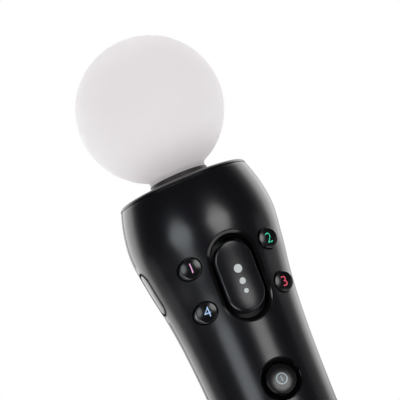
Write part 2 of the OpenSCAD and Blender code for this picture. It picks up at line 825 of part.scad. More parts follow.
// Pressed metal can over the radio
shield_w = 13;
shield_h = 11;
shield_t = 2;
shield_wall = 0.3;
shield_z = board_low_z + 0.33 * board_h;
module radio_shield() color(steel) translate([-shield_w / 2, -board_rear, shield_z])
    difference() {
        cube([shield_w, shield_t, shield_h]);
        translate([shield_wall, -shield_t, shield_wall])
            cube([shield_w - 2 * shield_wall, 2 * shield_t - shield_wall, shield_h - 2 * shield_wall]);
    }

// Battery plug on the board, with the two leads that come up from the pack
plug_x = 8;
plug_w = 6;
plug_d = 3;
plug_h = 5;
connector_z = board_low_z + 2;
module battery_connector() color(soft_white)
    translate([plug_x - plug_w / 2, -board_rear, connector_z]) cube([plug_w, plug_d, plug_h]);

lead_d = 1.2;
lead_gap = 2.6;
module battery_leads() color("firebrick")
    for (side = [-1, 1])
        translate([plug_x + side * lead_gap / 2, -board_rear + plug_d / 2, battery_z1])
            cylinder(d = lead_d, h = connector_z - battery_z1);

module battery_pack() color(battery_blue)
    translate([0, (frame_front - battery_front) / 2, battery_z0]) linear_extrude(battery_z1 - battery_z0)
        rounded_rect(battery_w, battery_front + frame_front, battery_round);

// Flat carrier clamped between the shells' bosses, with the motor's cradle and the spring's seat
frame_low_z = low_screw_z - boss_d / 2;
frame_top_z = top_screw_z + boss_d / 2 - 0.4;
cradle_t = 1.2;
module inner_frame() color(frame_grey) difference() {
    union() {
        translate([0, frame_rear, 0]) rotate([90, 0, 0]) linear_extrude(frame_t)
            board_outline(frame_low_z, frame_top_z, frame_rear + 1, inner_gap);
        translate([-motor_d / 2 - cradle_t, frame_rear - 0.5, motor_z0 + 1])
            cube([motor_d + 2 * cradle_t, motor_y - frame_rear + 0.5, motor_l - 2]);
        rod_y(2 * (spring_r + wire_r + spring_seat_rim), 0, spring_z, frame_rear - frame_t / 2, spring_y0);
    }
    translate([0, motor_y, motor_z0 - 1]) cylinder(d = motor_d + 2 * touch_gap, h = motor_l + 2);
    for (p = shell_places) rod_y(pilot_d, p[0], p[1], 0, far);
    // Notches that leave the side buttons room to move
    for (side = [-1, 1])
        intersection() {
            stadium_side(side_lip_w + 2 * inner_gap, side_lip_l + 2 * inner_gap, side);
            layer(0, wall + touch_gap + lip_t + side_travel + inner_gap);
        }
}

module shell_screws() color(steel)
    for (p = shell_places) {
        rod_y(screw_d, p[0], p[1], screw_seat_y - screw_l, screw_seat_y);
        difference() {
            rod_y(head_screw_d, p[0], p[1], screw_seat_y, screw_seat_y + screw_head_h);
            for (a = [0, 90])
                translate([p[0], screw_seat_y + screw_head_h, p[1]]) rotate([0, a, 0])
                    cube([cross_l, screw_head_h, cross_w], center = true);
        }
    }

// Finger trigger: a hollow moulding with a hub at its top
module trigger() color(satin_black) difference() {
    union() {
        intersection() {
            turned(trigger_curve, 0, trigger_low_z - touch_gap, trigger_top_z + touch_gap, trigger_steps);
            union() {
                translate([0, trigger_inner_y, (trigger_low_z + trigger_top_z) / 2])
                    rotate([-90, 0, 0]) linear_extrude(far)
                        rounded_rect(trigger_w, trigger_h, trigger_round);
                // Arm from the hub to the finger face
                translate([-trigger_w / 2, pivot_y, pivot_z - hub_d / 2])
                    cube([trigger_w, trigger_arm, hub_d / 2]);
            }
        }
        rod_x(hub_d, pivot_y, pivot_z, -trigger_w / 2, trigger_w / 2);
    }
    // Hollow behind the finger face
    intersection() {
        turned(trigger_curve, -trigger_wall, trigger_low_z, trigger_top_z, trigger_steps);
        translate([-trigger_w / 2 + trigger_wall, 0, trigger_low_z + trigger_wall])
            cube([trigger_w - 2 * trigger_wall, far, pivot_z - hub_d / 2 - trigger_low_z - trigger_wall]);
    }
    rod_x(pin_d + 2 * running_fit, pivot_y, pivot_z, -far, far);
}

module trigger_pin() color(steel)
    rod_x(pin_d, pivot_y, pivot_z, -ear_x0 - ear_t, ear_x0 + ear_t);

// Coil spring between the inner frame and the trigger, one unbroken wire
rings_per_turn = 8;
wire_sides = 6;
spring_rings = spring_turns * rings_per_turn;
function spring_point(i, k) =
    let (a = 360 * i / rings_per_turn, b = 360 * k / wire_sides, r = spring_r + wire_r * cos(b),
        y0 = spring_y0 + wire_r, y1 = spring_y1 - wire_r)
    [r * cos(a), y0 + (y1 - y0) * i / spring_rings + wire_r * sin(b), spring_z + r * sin(a)];
spring_gap = (spring_y1 - spring_y0 - 2 * wire_r) / spring_turns - 2 * wire_r;
echo(spring_least_gap = spring_gap);
module trigger_spring() color(steel)
    polyhedron(
        points = [for (i = [0 : spring_rings], k = [0 : wire_sides - 1]) spring_point(i, k)],
        faces = concat(
            [[for (k = [0 : wire_sides - 1]) k]],
            [for (i = [0 : spring_rings - 1], k = [0 : wire_sides - 1])
                let (n = (k + 1) % wire_sides, a = i * wire_sides, b = a + wire_sides)
                [a + k, b + n, a + n]],
            [for (i = [0 : spring_rings - 1], k = [0 : wire_sides - 1])
                let (n = (k + 1) % wire_sides, a = i * wire_sides, b = a + wire_sides)
                [a + k, b + k, b + n]],
            [[for (k = [wire_sides - 1 : -1 : 0]) spring_rings * wire_sides + k]]));

// Force sensor pad behind the trigger
pad_w = 8;
pad_t = 1.8;
pad_h = 6;
module trigger_sensor() color(grey_rubber)
    translate([-pad_w / 2, frame_rear, trigger_low_z + 0.5 * trigger_h]) cube([pad_w, pad_t, pad_h]);

module vibration_motor() color(steel) translate([0, motor_y, motor_z0]) difference() {
    union() {
        cylinder(d = motor_d, h = motor_l);
        cylinder(d = motor_d * 0.4, h = motor_l + 0.8);
    }
    translate([0, 0, motor_l / 2]) cylinder(d = shaft_d + 2 * running_fit, h = motor_l);
}

module motor_shaft() color(steel)
    translate([0, motor_y, motor_z0 + motor_l / 2 + 0.2])
        cylinder(d = shaft_d, h = weight_z + weight_h - motor_z0 - motor_l / 2);

// Half-round weight that makes the motor shake
module motor_weight() color(brass_gold) translate([0, motor_y, weight_z]) difference() {
    union() {
        intersection() {
            cylinder(d = weight_d, h = weight_h);
            translate([-weight_d, 0, -1]) cube([2 * weight_d, weight_d, weight_h + 2]);
        }
        cylinder(d = shaft_d + 2, h = weight_h);
    }
    translate([0, 0, -1]) cylinder(d = shaft_d + 0.02, h = weight_h + 2);
}

// Turned end cap with the sockets' windows, charging contacts and strap pocket
end_floor = 2;
end_spigot_r = body_r(end_h) - wall - slide_fit;
end_wall = 1.4;
end_inner_r = end_spigot_r - end_wall;
usb_y = -6;
port_y = 3.6;
post_x = 10;
post_y = -6;
contact_x = 12;
contact_y = 1.2;
strap_y0 = 8.4;
strap_z = 2.6;
strap_h = 6;
strap_bar_inset = 5.2;
strap_bar_y = body_r(end_h) - strap_bar_inset;
pocket_wall = 1.6;
pocket_roof = 1.2;
module end_cap() color(satin_black) {
    difference() {
        union() {
            rotate_extrude() polygon(concat(
                [[0, 0]],
                [for (a = [-90 : 15 : 0])
                    [base_d / 2 - base_round + base_round * cos(a), base_round + base_round * sin(a)]],
                [for (t = [0.5, 1]) let (z = base_round + (end_h - base_round) * t) [body_r(z), z]],
                [[end_spigot_r, end_h], [end_spigot_r, end_h + end_spigot_h], [0, end_h + end_spigot_h]]));
        }
        // Room for the end board and its sockets
        difference() {
            translate([0, 0, end_floor]) cylinder(r = end_inner_r, h = far);
            translate([-strap_w / 2 - pocket_wall, strap_y0 - pocket_wall, 0])
                cube([strap_w + 2 * pocket_wall, far, strap_h + pocket_roof]);
            for (side = [-1, 1])
                translate([side * post_x, post_y, 0]) cylinder(d = boss_d, h = end_h);
        }
        for (s = [[usb_w, usb_d, usb_y], [port_w, port_d, port_y]])
            translate([-s[0] / 2 - slide_fit, s[2] - s[1] / 2 - slide_fit, -1])
                cube([s[0] + 2 * slide_fit, s[1] + 2 * slide_fit, far]);
        for (side = [-1, 1])
            translate([side * contact_x, contact_y, -1]) cylinder(d = contact_d + 2 * slide_fit, h = far);
        translate([-strap_w / 2, strap_y0, -1]) cube([strap_w, far, strap_h + 1]);
    }
    rod_x(strap_bar_d, strap_bar_y, strap_z, -(strap_w + pocket_wall) / 2, (strap_w + pocket_wall) / 2);
}

io_board_t = 1.2;
io_board_gap = 0.4;
module io_board() color(board_green)
    translate([0, 0, end_h]) cylinder(r = end_inner_r - io_board_gap, h = io_board_t);

module io_ribbon() color(ribbon_amber)
    translate([ribbon_x, -board_front - ribbon_t, end_h + io_board_t])
        cube([ribbon_w, ribbon_t, board_low_z + ribbon_lap - end_h - io_board_t]);

// Socket: an open-bottomed shell with a contact tongue
socket_sink = 0.4;
tongue_side = 1.6;
tongue_sink = 2;
usb_tongue = 0.8;
port_tongue = 1.2;
contact_sink = 0.2;
module socket(w, d, y, tongue) {
    difference() {
        translate([-w / 2, y - d / 2, socket_sink]) cube([w, d, end_h - socket_sink]);
        translate([-w / 2 + socket_wall, y - d / 2 + socket_wall, -1])
            cube([w - 2 * socket_wall, d - 2 * socket_wall, end_h - socket_wall]);
    }
    translate([-w / 2 + tongue_side, y - tongue / 2, tongue_sink])
        cube([w - 2 * tongue_side, tongue, end_h - tongue_sink - socket_wall]);
}
module usb_socket() color(steel) socket(usb_w, usb_d, usb_y, usb_tongue);
module expansion_socket() color(chip_black) socket(port_w, port_d, port_y, port_tongue);

module charge_contacts() color(brass_gold)
    for (side = [-1, 1])
        translate([side * contact_x, contact_y, contact_sink])
            cylinder(d = contact_d, h = end_h - contact_sink);

front_shell();
rear_shell();
top_cap();
collar_ring();
light_sphere();
light_guide();
led_board();
led_package();
led_board_screws();
led_ribbon();
action_button();
face_button_upper_left();
face_button_upper_right();
face_button_lower_left();
face_button_lower_right();
home_button();
left_side_button();
right_side_button();
keypad();
main_board();
board_screws();
board_chips();
radio_shield();
side_switches();
inner_frame();
trigger();
trigger_pin();
trigger_spring();
trigger_sensor();
vibration_motor();
motor_shaft();
motor_weight();
battery_pack();
battery_leads();
battery_connector();
shell_screws();
end_cap();
io_board();
io_ribbon();
usb_socket();
expansion_socket();
charge_contacts();
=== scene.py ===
"""Dresses the motion controller wand: satin black handle, polished buttons and a soft white light sphere."""
import json
import math

import bpy
from mathutils import Matrix, Vector


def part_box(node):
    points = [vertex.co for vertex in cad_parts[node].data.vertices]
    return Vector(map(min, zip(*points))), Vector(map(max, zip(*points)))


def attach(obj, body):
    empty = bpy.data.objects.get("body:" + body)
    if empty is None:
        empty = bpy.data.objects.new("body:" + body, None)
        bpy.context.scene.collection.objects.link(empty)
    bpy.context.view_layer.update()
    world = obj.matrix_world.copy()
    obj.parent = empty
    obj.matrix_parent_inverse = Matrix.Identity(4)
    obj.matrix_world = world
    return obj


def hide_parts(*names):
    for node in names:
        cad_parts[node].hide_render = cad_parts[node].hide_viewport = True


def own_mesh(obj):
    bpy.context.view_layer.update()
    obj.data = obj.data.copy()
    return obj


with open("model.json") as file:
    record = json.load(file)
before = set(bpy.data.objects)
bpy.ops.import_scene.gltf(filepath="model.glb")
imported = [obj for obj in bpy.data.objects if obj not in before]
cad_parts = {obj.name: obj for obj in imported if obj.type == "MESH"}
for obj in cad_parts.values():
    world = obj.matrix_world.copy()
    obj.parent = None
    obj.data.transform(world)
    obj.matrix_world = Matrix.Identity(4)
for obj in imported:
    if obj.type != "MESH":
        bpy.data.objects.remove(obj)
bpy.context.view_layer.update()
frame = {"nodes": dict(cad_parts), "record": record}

# Sizes are in millimetres until a point goes into a mesh
MM = 0.001

# Heights and radii from the top down; the bore lets the light guide through the cap and the collar
TOTAL_H = 200.0
SPHERE_R = 22.5
NECK_R = 8.85
NECK_H = 1.5
COLLAR_H = 1.9
CAP_DOME = 0.6
CAP_R = 18.2
CAP_EDGE_H = 1.3
SEAM_R = 20.25
GUIDE_BORE = 7.6
SPHERE_Z = TOTAL_H - SPHERE_R
NECK_TOP_Z = SPHERE_Z - math.sqrt(SPHERE_R**2 - NECK_R**2)
COLLAR_TOP_Z = NECK_TOP_Z - NECK_H
CAP_TOP_Z = COLLAR_TOP_Z - COLLAR_H
CAP_EDGE_Z = CAP_TOP_Z - CAP_DOME
SEAM_Z = CAP_EDGE_Z - CAP_EDGE_H

# Outline of the handle as height and radius
BASE_ROUND = 3.0
END_H = 9.0
WALL = 2.0
OUTLINE = [
    (BASE_ROUND, 18.5),
    (56.0, 17.4),
    (SEAM_Z - 64.0, 18.0),
    (SEAM_Z - 46.0, 18.95),
    (SEAM_Z - 35.2, 20.15),
    (SEAM_Z - 24.4, 21.9),
    (SEAM_Z - 12.8, 23.0),
    (SEAM_Z, SEAM_R),
]

# Buttons
ACTION_Z = SEAM_Z - 32.1
ACTION_R = 6.0
ACTION_L = 21.4
ACTION_HOLLOW = 0.2
ACTION_HALF = ACTION_L / 2 + 0.3
MOAT_R = 7.85
MOAT_L = 27.5
MOAT_DEPTH = 2.3
FACE_R = 3.05
FACE_X = 12.6
FACE_UP_Z = ACTION_Z + 7.3
FACE_LOW_Z = ACTION_Z - 6.0
FACE_PROUD = 1.9
FACE_DOME = 12.0
FACE_TURN = math.radians(15)
FACE_LEAN = math.radians(5)
FACE_HOLE_R = 3.35
HOME_Z = SEAM_Z - 64.0
HOME_R = 4.5
HOME_DOME = 20.0
HOME_LEAN = math.radians(6)
DISH_R = 6.35
DISH_DEPTH = 2.2
SIDE_Z = SEAM_Z - 26.5
SIDE_R = 2.9
SIDE_L = 13.2
SIDE_STEP = 0.7
SIDE_WRAP = 2.2
BUTTON_GAP = 0.3
EDGE_DROP = 0.02
LINER_WALL = 0.08

# Trigger on the back
TRIGGER_HALF = 7.6
TRIGGER_TOP_Z = SEAM_Z - 9.0
TRIGGER_LOW_Z = SEAM_Z - 42.0
TRIGGER_H = TRIGGER_TOP_Z - TRIGGER_LOW_Z
TRIGGER_ROUND = 3.0
TRIGGER_WALL = 1.4
SPRING_TURNS = 7
SPRING_WIRE_R = 0.3
OPENING_HALF = TRIGGER_HALF + 0.5
OPENING_LOW_Z = SEAM_Z - 45.1
OPENING_TOP_Z = TRIGGER_TOP_Z + 0.5

# Parting gap between mouldings, the tongue that closes it inside,
# and how far the handle stays under its outline
PART_GAP = 0.14
TONGUE = 1.2
TONGUE_DEPTH = 0.6
SKIN = 0.015

# How far from the axis each cutter starts, and where all of them end
MOAT_CUT = 12.0
FACE_CUT = 8.0
SIDE_CUT = 14.0
TRIGGER_CUT = 8.0
SCREW_CUT = 7.0
CUT_FAR = 40.0

# Base: sockets, charging contacts and strap anchor
UNDER_Z = -1.0
WINDOW_TOP_Z = 20.0
USB_Y = -6.0
USB_HALF = (4.0, 2.2)
PORT_Y = 3.6
PORT_HALF = (6.3, 2.6)
CONTACT_X = 12.0
CONTACT_Y = 1.2
CONTACT_HOLE_R = 1.9
STRAP_HALF = 3.5
STRAP_Y = 8.4
STRAP_TOP_Z = 6.0
STRAP_BAR_Y = 13.17
STRAP_BAR_Z = 2.6
STRAP_BAR_R = 1.2
STRAP_BAR_HALF = 3.9


def curve_at(stations, z):
    """Radius at height z on a smooth curve through stations of height and radius."""
    last = len(stations) - 1

    def chord(i):
        return (stations[i + 1][1] - stations[i][1]) / (stations[i + 1][0] - stations[i][0])

    def tangent(i):
        if i == 0:
            return chord(0)
        if i == last:
            return 2 * chord(last - 1) - tangent(last - 1)
        return (stations[i + 1][1] - stations[i - 1][1]) / (stations[i + 1][0] - stations[i - 1][0])

    i = 0
    while i < last - 1 and z >= stations[i + 1][0]:
        i += 1
    (z0, r0), (z1, r1) = stations[i], stations[i + 1]
    h = z1 - z0
    t = (z - z0) / h
    start = (1 + 2 * t) * (1 - t) ** 2 * r0 + t * (1 - t) ** 2 * h * tangent(i)
    end = t * t * (3 - 2 * t) * r1 + t * t * (t - 1) * h * tangent(i + 1)
    return start + end


def handle_r(z):
    return curve_at(OUTLINE, z)


ACTION_CURVE = [
    (ACTION_Z - ACTION_HALF, handle_r(ACTION_Z - ACTION_HALF)),
    (ACTION_Z, handle_r(ACTION_Z) - ACTION_HOLLOW),
    (ACTION_Z + ACTION_HALF, handle_r(ACTION_Z + ACTION_HALF)),
]
TRIGGER_CURVE = [
    (TRIGGER_LOW_Z + share * TRIGGER_H, handle_r(TRIGGER_LOW_Z + share * TRIGGER_H) + stand)
    for share, stand in ((0.0, 7.0), (0.2, 4.3), (0.5, 3.0), (0.8, 1.5), (1.0, 0.0))
]


def rounded(corners, steps=5):
    """Points of a path whose corners of (a, b, radius) are rounded off."""
    points = []
    for i, (a, b, radius) in enumerate(corners):
        here = Vector((a, b))
        if radius == 0 or i == 0 or i == len(corners) - 1:
            points.append((a, b))
            continue
        back = Vector(corners[i - 1][:2]) - here
        on = Vector(corners[i + 1][:2]) - here
        cut = min(radius / math.tan(back.angle(on) / 2), 0.48 * back.length, 0.48 * on.length)
        start = here + back.normalized() * cut
        end = here + on.normalized() * cut
        for k in range(steps + 1):
            t = k / steps
            point = start * (1 - t) ** 2 + here * 2 * t * (1 - t) + end * t * t
            points.append((point.x, point.y))
    return points


def quarter(start, steps=12):
    """Angles of a quarter turn from a start in degrees."""
    return [math.radians(start + 90 * i / steps) for i in range(steps + 1)]


# Surfaces that pieces are laid on: two coordinates in the surface and a depth below it

def on_front(u, v, depth):
    return (u, -math.sqrt(handle_r(v) ** 2 - u * u) + depth, v)


def on_action(u, v, depth):
    return (u, -math.sqrt(curve_at(ACTION_CURVE, v) ** 2 - u * u) + depth, v)


def on_trigger(u, v, depth):
    return (u, math.sqrt(curve_at(TRIGGER_CURVE, v) ** 2 - u * u) - depth, v)


def on_side(side):
    def lay(u, v, depth):
        return (side * (math.sqrt(handle_r(v) ** 2 - u * u) - depth), u, v)
    return lay


def on_dome(top, radius, turn=0.0, lean=0.0):
    """Dome whose top faces the front, turned to a side and leaning down by two angles."""
    inward = Vector((-math.sin(turn) * math.cos(lean), math.cos(turn) * math.cos(lean), math.sin(lean)))
    centre = Vector(top) + radius * inward

    def lay(u, v, depth):
        return (u, centre.y - math.sqrt(radius**2 - (u - centre.x) ** 2 - (v - centre.z) ** 2) + depth, v)
    return lay


def along_y(u, v, depth):
    return (u, depth, v)


def along_x(u, v, depth):
    return (depth, u, v)


# Modelling steps

def deselect():
    bpy.ops.object.select_all(action="DESELECT")


def edit(piece):
    deselect()
    piece.select_set(True)
    bpy.context.view_layer.objects.active = piece
    bpy.ops.object.mode_set(mode="EDIT")


def leave():
    bpy.ops.object.mode_set(mode="OBJECT")


def clean(piece, angle=35):
    """Merge doubles, turn every face outwards and smooth all but the sharp edges."""
    edit(piece)
    bpy.ops.mesh.select_all(action="SELECT")
    bpy.ops.mesh.remove_doubles(threshold=1e-6)
    bpy.ops.mesh.dissolve_degenerate(threshold=1e-7)
    bpy.ops.mesh.select_all(action="SELECT")
    bpy.ops.mesh.normals_make_consistent(inside=False)
    leave()
    smooth(piece, angle)


def smooth(piece, angle=35):
    deselect()
    piece.select_set(True)
    bpy.context.view_layer.objects.active = piece
    bpy.ops.object.shade_smooth_by_angle(angle=math.radians(angle))


def finish_with(piece, kind, **settings):
    """Add a modifier with its settings and apply it."""
    deselect()
    piece.select_set(True)
    bpy.context.view_layer.objects.active = piece
    modifier = piece.modifiers.new(kind.lower(), kind)
    for key, value in settings.items():
        setattr(modifier, key, value)
    bpy.ops.object.modifier_apply(modifier=modifier.name)


def cut(piece, tool, operation="DIFFERENCE"):
    """Cut a piece with a tool and clean it, because slivers would make the next cut unsound."""
    finish_with(piece, "BOOLEAN", object=tool, operation=operation, solver="EXACT")
    bpy.data.objects.remove(tool)
    clean(piece)


def join(pieces):
    deselect()
    for piece in pieces:
        piece.select_set(True)
    bpy.context.view_layer.objects.active = pieces[0]
    if len(pieces) > 1:
        bpy.ops.object.join()
    return pieces[0]


def turned(name, outline, steps=160):
    """Spin a closed outline of radius and height round the wand's axis."""
    deselect()
    bpy.ops.mesh.primitive_circle_add(vertices=len(outline), fill_type="NOTHING")
    piece = bpy.context.object
    piece.name = name
    for vertex, (r, z) in zip(piece.data.vertices, outline):
        vertex.co = (max(r, 0) * MM, 0, z * MM)
    edit(piece)
    bpy.ops.mesh.select_all(action="SELECT")
    bpy.ops.mesh.spin(steps=steps, angle=math.tau, center=(0, 0, 0), axis=(0, 0, 1))
    leave()
    clean(piece)
    return piece


def box(name, low, high):
    """Box between two corners."""
    deselect()
    middle = [(a + b) / 2 * MM for a, b in zip(low, high)]
    size = [(b - a) * MM for a, b in zip(low, high)]
    bpy.ops.mesh.primitive_cube_add(size=1, location=middle, scale=size)
    piece = bpy.context.object
    piece.name = name
    bpy.ops.object.transform_apply(location=True, rotation=True, scale=True)
    return piece


def ring_start(name, lay, centre, half, step, axes, around, along):
    """First loop of a piece: a circle pulled apart to a long or four-sided ring with round corners."""
    deselect()
    bpy.ops.mesh.primitive_circle_add(vertices=around, fill_type="NOTHING")
    piece = bpy.context.object
    piece.name = name
    radius = step[0]
    for k, vertex in enumerate(piece.data.vertices):
        angle = math.tau * (k + 0.5) / around
        u = centre[0] + math.copysign(half[0], math.cos(angle)) + radius * math.cos(angle)
        v = centre[1] + math.copysign(half[1], math.sin(angle)) + radius * math.sin(angle)
        point = [0, 0, 0]
        point[axes[0]], point[axes[1]] = u * MM, v * MM
        vertex.co = point
    edit(piece)
    bpy.ops.mesh.select_all(action="DESELECT")
    leave()
    short = 2 * math.tau * radius / around * MM
    for edge in piece.data.edges:
        a, b = (piece.data.vertices[i].co for i in edge.vertices)
        edge.select = (a - b).length > short
    edit(piece)
    bpy.ops.mesh.select_mode(type="EDGE")
    bpy.ops.mesh.subdivide(number_cuts=along)
    bpy.ops.mesh.select_mode(type="VERT")
    bpy.ops.mesh.select_all(action="SELECT")
    leave()
    ring_place(piece, lay, centre, half, step, axes)
    return piece


def ring_place(piece, lay, centre, half, step, axes):
    """Take the selected loop to a radius round its core, or in from it, and a depth under its surface."""
    radius, depth = step
    inset = min(radius, 0)
    for vertex in piece.data.vertices:
        if not vertex.select:
            continue
        u = vertex.co[axes[0]] / MM - centre[0]
        v = vertex.co[axes[1]] / MM - centre[1]
        core_u = min(max(u, -half[0] - inset), half[0] + inset)
        core_v = min(max(v, -half[1] - inset), half[1] + inset)
        reach = math.hypot(u - core_u, v - core_v)
        grow = radius / reach if radius > 0 else 0
        new_u = centre[0] + core_u + (u - core_u) * grow
        new_v = centre[1] + core_v + (v - core_v) * grow
        vertex.co = [c * MM for c in lay(new_u, new_v, depth)]


def ringed(name, lay, centre, half, path, axes=(0, 2), around=64, along=12):
    """Extrude a loop along a path of (radius, depth) steps laid on a surface."""
    piece = ring_start(name, lay, centre, half, path[0], axes, around, along)
    for step in path[1:]:
        edit(piece)
        bpy.ops.mesh.extrude_edges_move()
        leave()
        ring_place(piece, lay, centre, half, step, axes)
    return piece


def close_ends(piece):
    """Merge a loop that has shrunk to a spine and fill what is still open."""
    edit(piece)
    bpy.ops.mesh.select_all(action="SELECT")
    bpy.ops.mesh.remove_doubles(threshold=1e-6)
    bpy.ops.mesh.select_all(action="DESELECT")
    bpy.ops.mesh.select_non_manifold()
    bpy.ops.mesh.edge_face_add()
    leave()
    clean(piece)


def prism(name, lay, centre, half, radius, start, end, axes=(0, 2), around=64):
    """Straight cutter with round corners, closed at both ends."""
    piece = ringed(name, lay, centre, half, [(radius, start), (radius, end)], axes, around, 1)
    edit(piece)
    for at_end in (start, end):
        bpy.ops.mesh.select_all(action="DESELECT")
        leave()
        axis = 3 - axes[0] - axes[1]
        for vertex in piece.data.vertices:
            vertex.select = abs(vertex.co[axis] - at_end * MM) < 1e-6
        edit(piece)
        bpy.ops.mesh.edge_face_add()
    leave()
    clean(piece)
    return piece


def sheet_to_wall(piece, thickness, outward):
    """Turn an open liner to face outwards and give it its thickness behind the face."""
    edit(piece)
    bpy.ops.mesh.select_all(action="SELECT")
    bpy.ops.mesh.normals_make_consistent(inside=False)
    leave()
    facing = sum(p.normal.dot(outward) * p.area for p in piece.data.polygons)
    if facing < 0:
        edit(piece)
        bpy.ops.mesh.select_all(action="SELECT")
        bpy.ops.mesh.flip_normals()
        leave()
    finish_with(piece, "SOLIDIFY", thickness=thickness * MM, offset=-1)
    smooth(piece)


# Materials

def linear(colour):
    """Linear RGBA of an sRGB hex colour."""
    parts = [int(colour[i:i + 2], 16) / 255 for i in (1, 3, 5)]
    return [c / 12.92 if c <= 0.04045 else ((c + 0.055) / 1.055) ** 2.4 for c in parts] + [1.0]


def per_mm(size):
    """Pattern scale on Object coordinates for features of this size in millimetres."""
    return 1 / (size * MM)


def add(tree, kind, inputs=None, **settings):
    """Add a node with its settings, and give its inputs their values or links."""
    node = tree.nodes.new(kind)
    for key, value in settings.items():
        setattr(node, key, value)
    for key, value in (inputs or {}).items():
        if isinstance(value, bpy.types.NodeSocket):
            tree.links.new(value, node.inputs[key])
        else:
            node.inputs[key].default_value = value
    return node


def surface(name, colours, patch, grain, rough, bump, **shader):
    """Material whose colour drifts in patches and whose gloss and relief follow a finer grain."""
    material = bpy.data.materials.new(name)
    material.use_nodes = True
    tree = material.node_tree
    tree.nodes.clear()
    place = add(tree, "ShaderNodeTexCoord").outputs["Object"]
    cloud = add(tree, "ShaderNodeTexNoise", {"Vector": place, "Scale": per_mm(patch), "Detail": 3.0})
    tint = add(tree, "ShaderNodeMix", {"Factor": cloud.outputs["Fac"]}, data_type="RGBA")
    tint.inputs["A"].default_value = linear(colours[0])
    tint.inputs["B"].default_value = linear(colours[1])
    fine = add(tree, "ShaderNodeTexNoise", {"Vector": place, "Scale": per_mm(grain), "Detail": 2.0})
    gloss = add(tree, "ShaderNodeMapRange", {
        "Value": fine.outputs["Fac"], "To Min": rough[0], "To Max": rough[1]})
    relief = add(tree, "ShaderNodeBump", {
        "Height": fine.outputs["Fac"], "Strength": 1.0, "Distance": bump * MM})
    inputs = {"Base Color": tint.outputs["Result"], "Roughness": gloss.outputs["Result"],
              "Normal": relief.outputs["Normal"]}
    inputs.update(shader)
    principled = add(tree, "ShaderNodeBsdfPrincipled", inputs)
    add(tree, "ShaderNodeOutputMaterial", {"Surface": principled.outputs["BSDF"]})
    return material


def satin_abs():
    # Moulded ABS with a fine eroded texture: near black with broad soft highlights.
    # The texture is about 0.1 mm, drawn at 0.5 mm so that it shows at all
    return surface("satin_moulded_abs", ("#0D0D11", "#111116"), 6.0, 0.5, (0.20, 0.27), 0.0004, IOR=1.53)


def polished_abs():
    # ABS from a polished mould: deep black with sharp, slightly wavy reflections
    return surface("polished_moulded_abs", ("#070708", "#0A0A0B"), 8.0, 3.0, (0.08, 0.14), 0.002, IOR=1.53)


def button_abs():
    # Hard-coated ABS of the thumb buttons: glossy, softened a little by use
    return surface("hard_coated_abs", ("#0A0A0C", "#101013"), 3.0, 0.8, (0.16, 0.24), 0.0008, IOR=1.53)


def white_rubber():
    # Soft translucent rubber, matt moulded: light from all sides spreads far inside it,
    # so that it looks evenly white, its edge glows and nothing glints
    return surface("soft_translucent_rubber", ("#D2C9CB", "#D6CED0"), 14.0, 1.2, (0.62, 0.72), 0.0008,
                   IOR=1.41, **{"Subsurface Weight": 1.0, "Subsurface Radius": (1.0, 0.9, 0.92),
                                "Subsurface Scale": 0.20, "Specular IOR Level": 0.25})


def collar_tpe():
    # Matt thermoplastic elastomer: dark warm grey
    return surface("matt_elastomer", ("#2B2525", "#3A3231"), 2.0, 0.6, (0.45, 0.55), 0.002, IOR=1.5)


def printed_ink(name, colour, shade):
    # Screen-printed ink: flat colour with a faint silk texture at its edges
    return surface("printed_ink_" + name, (colour, shade), 0.9, 0.25, (0.34, 0.46), 0.002, IOR=1.48)


def bright_steel():
    # Rolled and turned steel with a dull plating: cool grey with fine scatter in its gloss
    return surface("plated_steel", ("#8E9094", "#A4A6A9"), 1.5, 0.4, (0.24, 0.40), 0.002, Metallic=1.0)


def gold_plate():
    # Thin hard gold over nickel: warm, worn a little dull by contact
    return surface("hard_gold_plate", ("#B8954A", "#C9A75C"), 1.2, 0.3, (0.22, 0.38), 0.002, Metallic=1.0)


def moulded_epoxy():
    # Filled epoxy, as on chips and connector bodies: dark and dry
    return surface("moulded_epoxy", ("#131314", "#1B1B1D"), 1.5, 0.3, (0.48, 0.62), 0.003, IOR=1.55)


def solder_mask():
    # Green solder mask over glass fibre: glossy, with the weave just showing
    return surface("solder_mask", ("#0F3B22", "#16482B"), 2.5, 0.6, (0.26, 0.40), 0.004, IOR=1.55)


def silicone():
    # Moulded silicone rubber: mid grey, waxy and matt
    return surface("moulded_silicone", ("#6C6C70", "#77777B"), 3.0, 0.5, (0.55, 0.66), 0.002, IOR=1.43)


def frame_abs():
    # Unpainted ABS as it leaves the mould: dark grey, half matt
    return surface("moulded_grey_abs", ("#33353A", "#3B3D42"), 5.0, 0.5, (0.42, 0.54), 0.002, IOR=1.53)


def shrink_film():
    # Printed shrink film on a battery: blue, tight and glossy with shallow wrinkles
    return surface("shrink_film", ("#26395C", "#2E4368"), 6.0, 1.4, (0.20, 0.32), 0.02, IOR=1.57)


def polyimide():
    # Polyimide film of a ribbon: amber, smooth
    return surface("polyimide_film", ("#A8681C", "#B97724"), 2.0, 0.5, (0.26, 0.36), 0.002, IOR=1.7)


def pvc():
    # Soft PVC insulation: red, slightly oily gloss
    return surface("pvc_insulation", ("#8E1616", "#A01C1C"), 1.2, 0.3, (0.32, 0.44), 0.002, IOR=1.54)


def white_nylon():
    # Moulded nylon: warm white, waxy
    return surface("moulded_nylon", ("#D9D6CC", "#E2DFD6"), 2.0, 0.4, (0.36, 0.48), 0.002, IOR=1.53)


def clear_acrylic():
    # Clear moulded acrylic: see-through with a soft polish
    return surface("clear_acrylic", ("#E4ECEE", "#EDF3F4"), 5.0, 0.8, (0.06, 0.14), 0.002,
                   IOR=1.49, **{"Transmission Weight": 0.85})


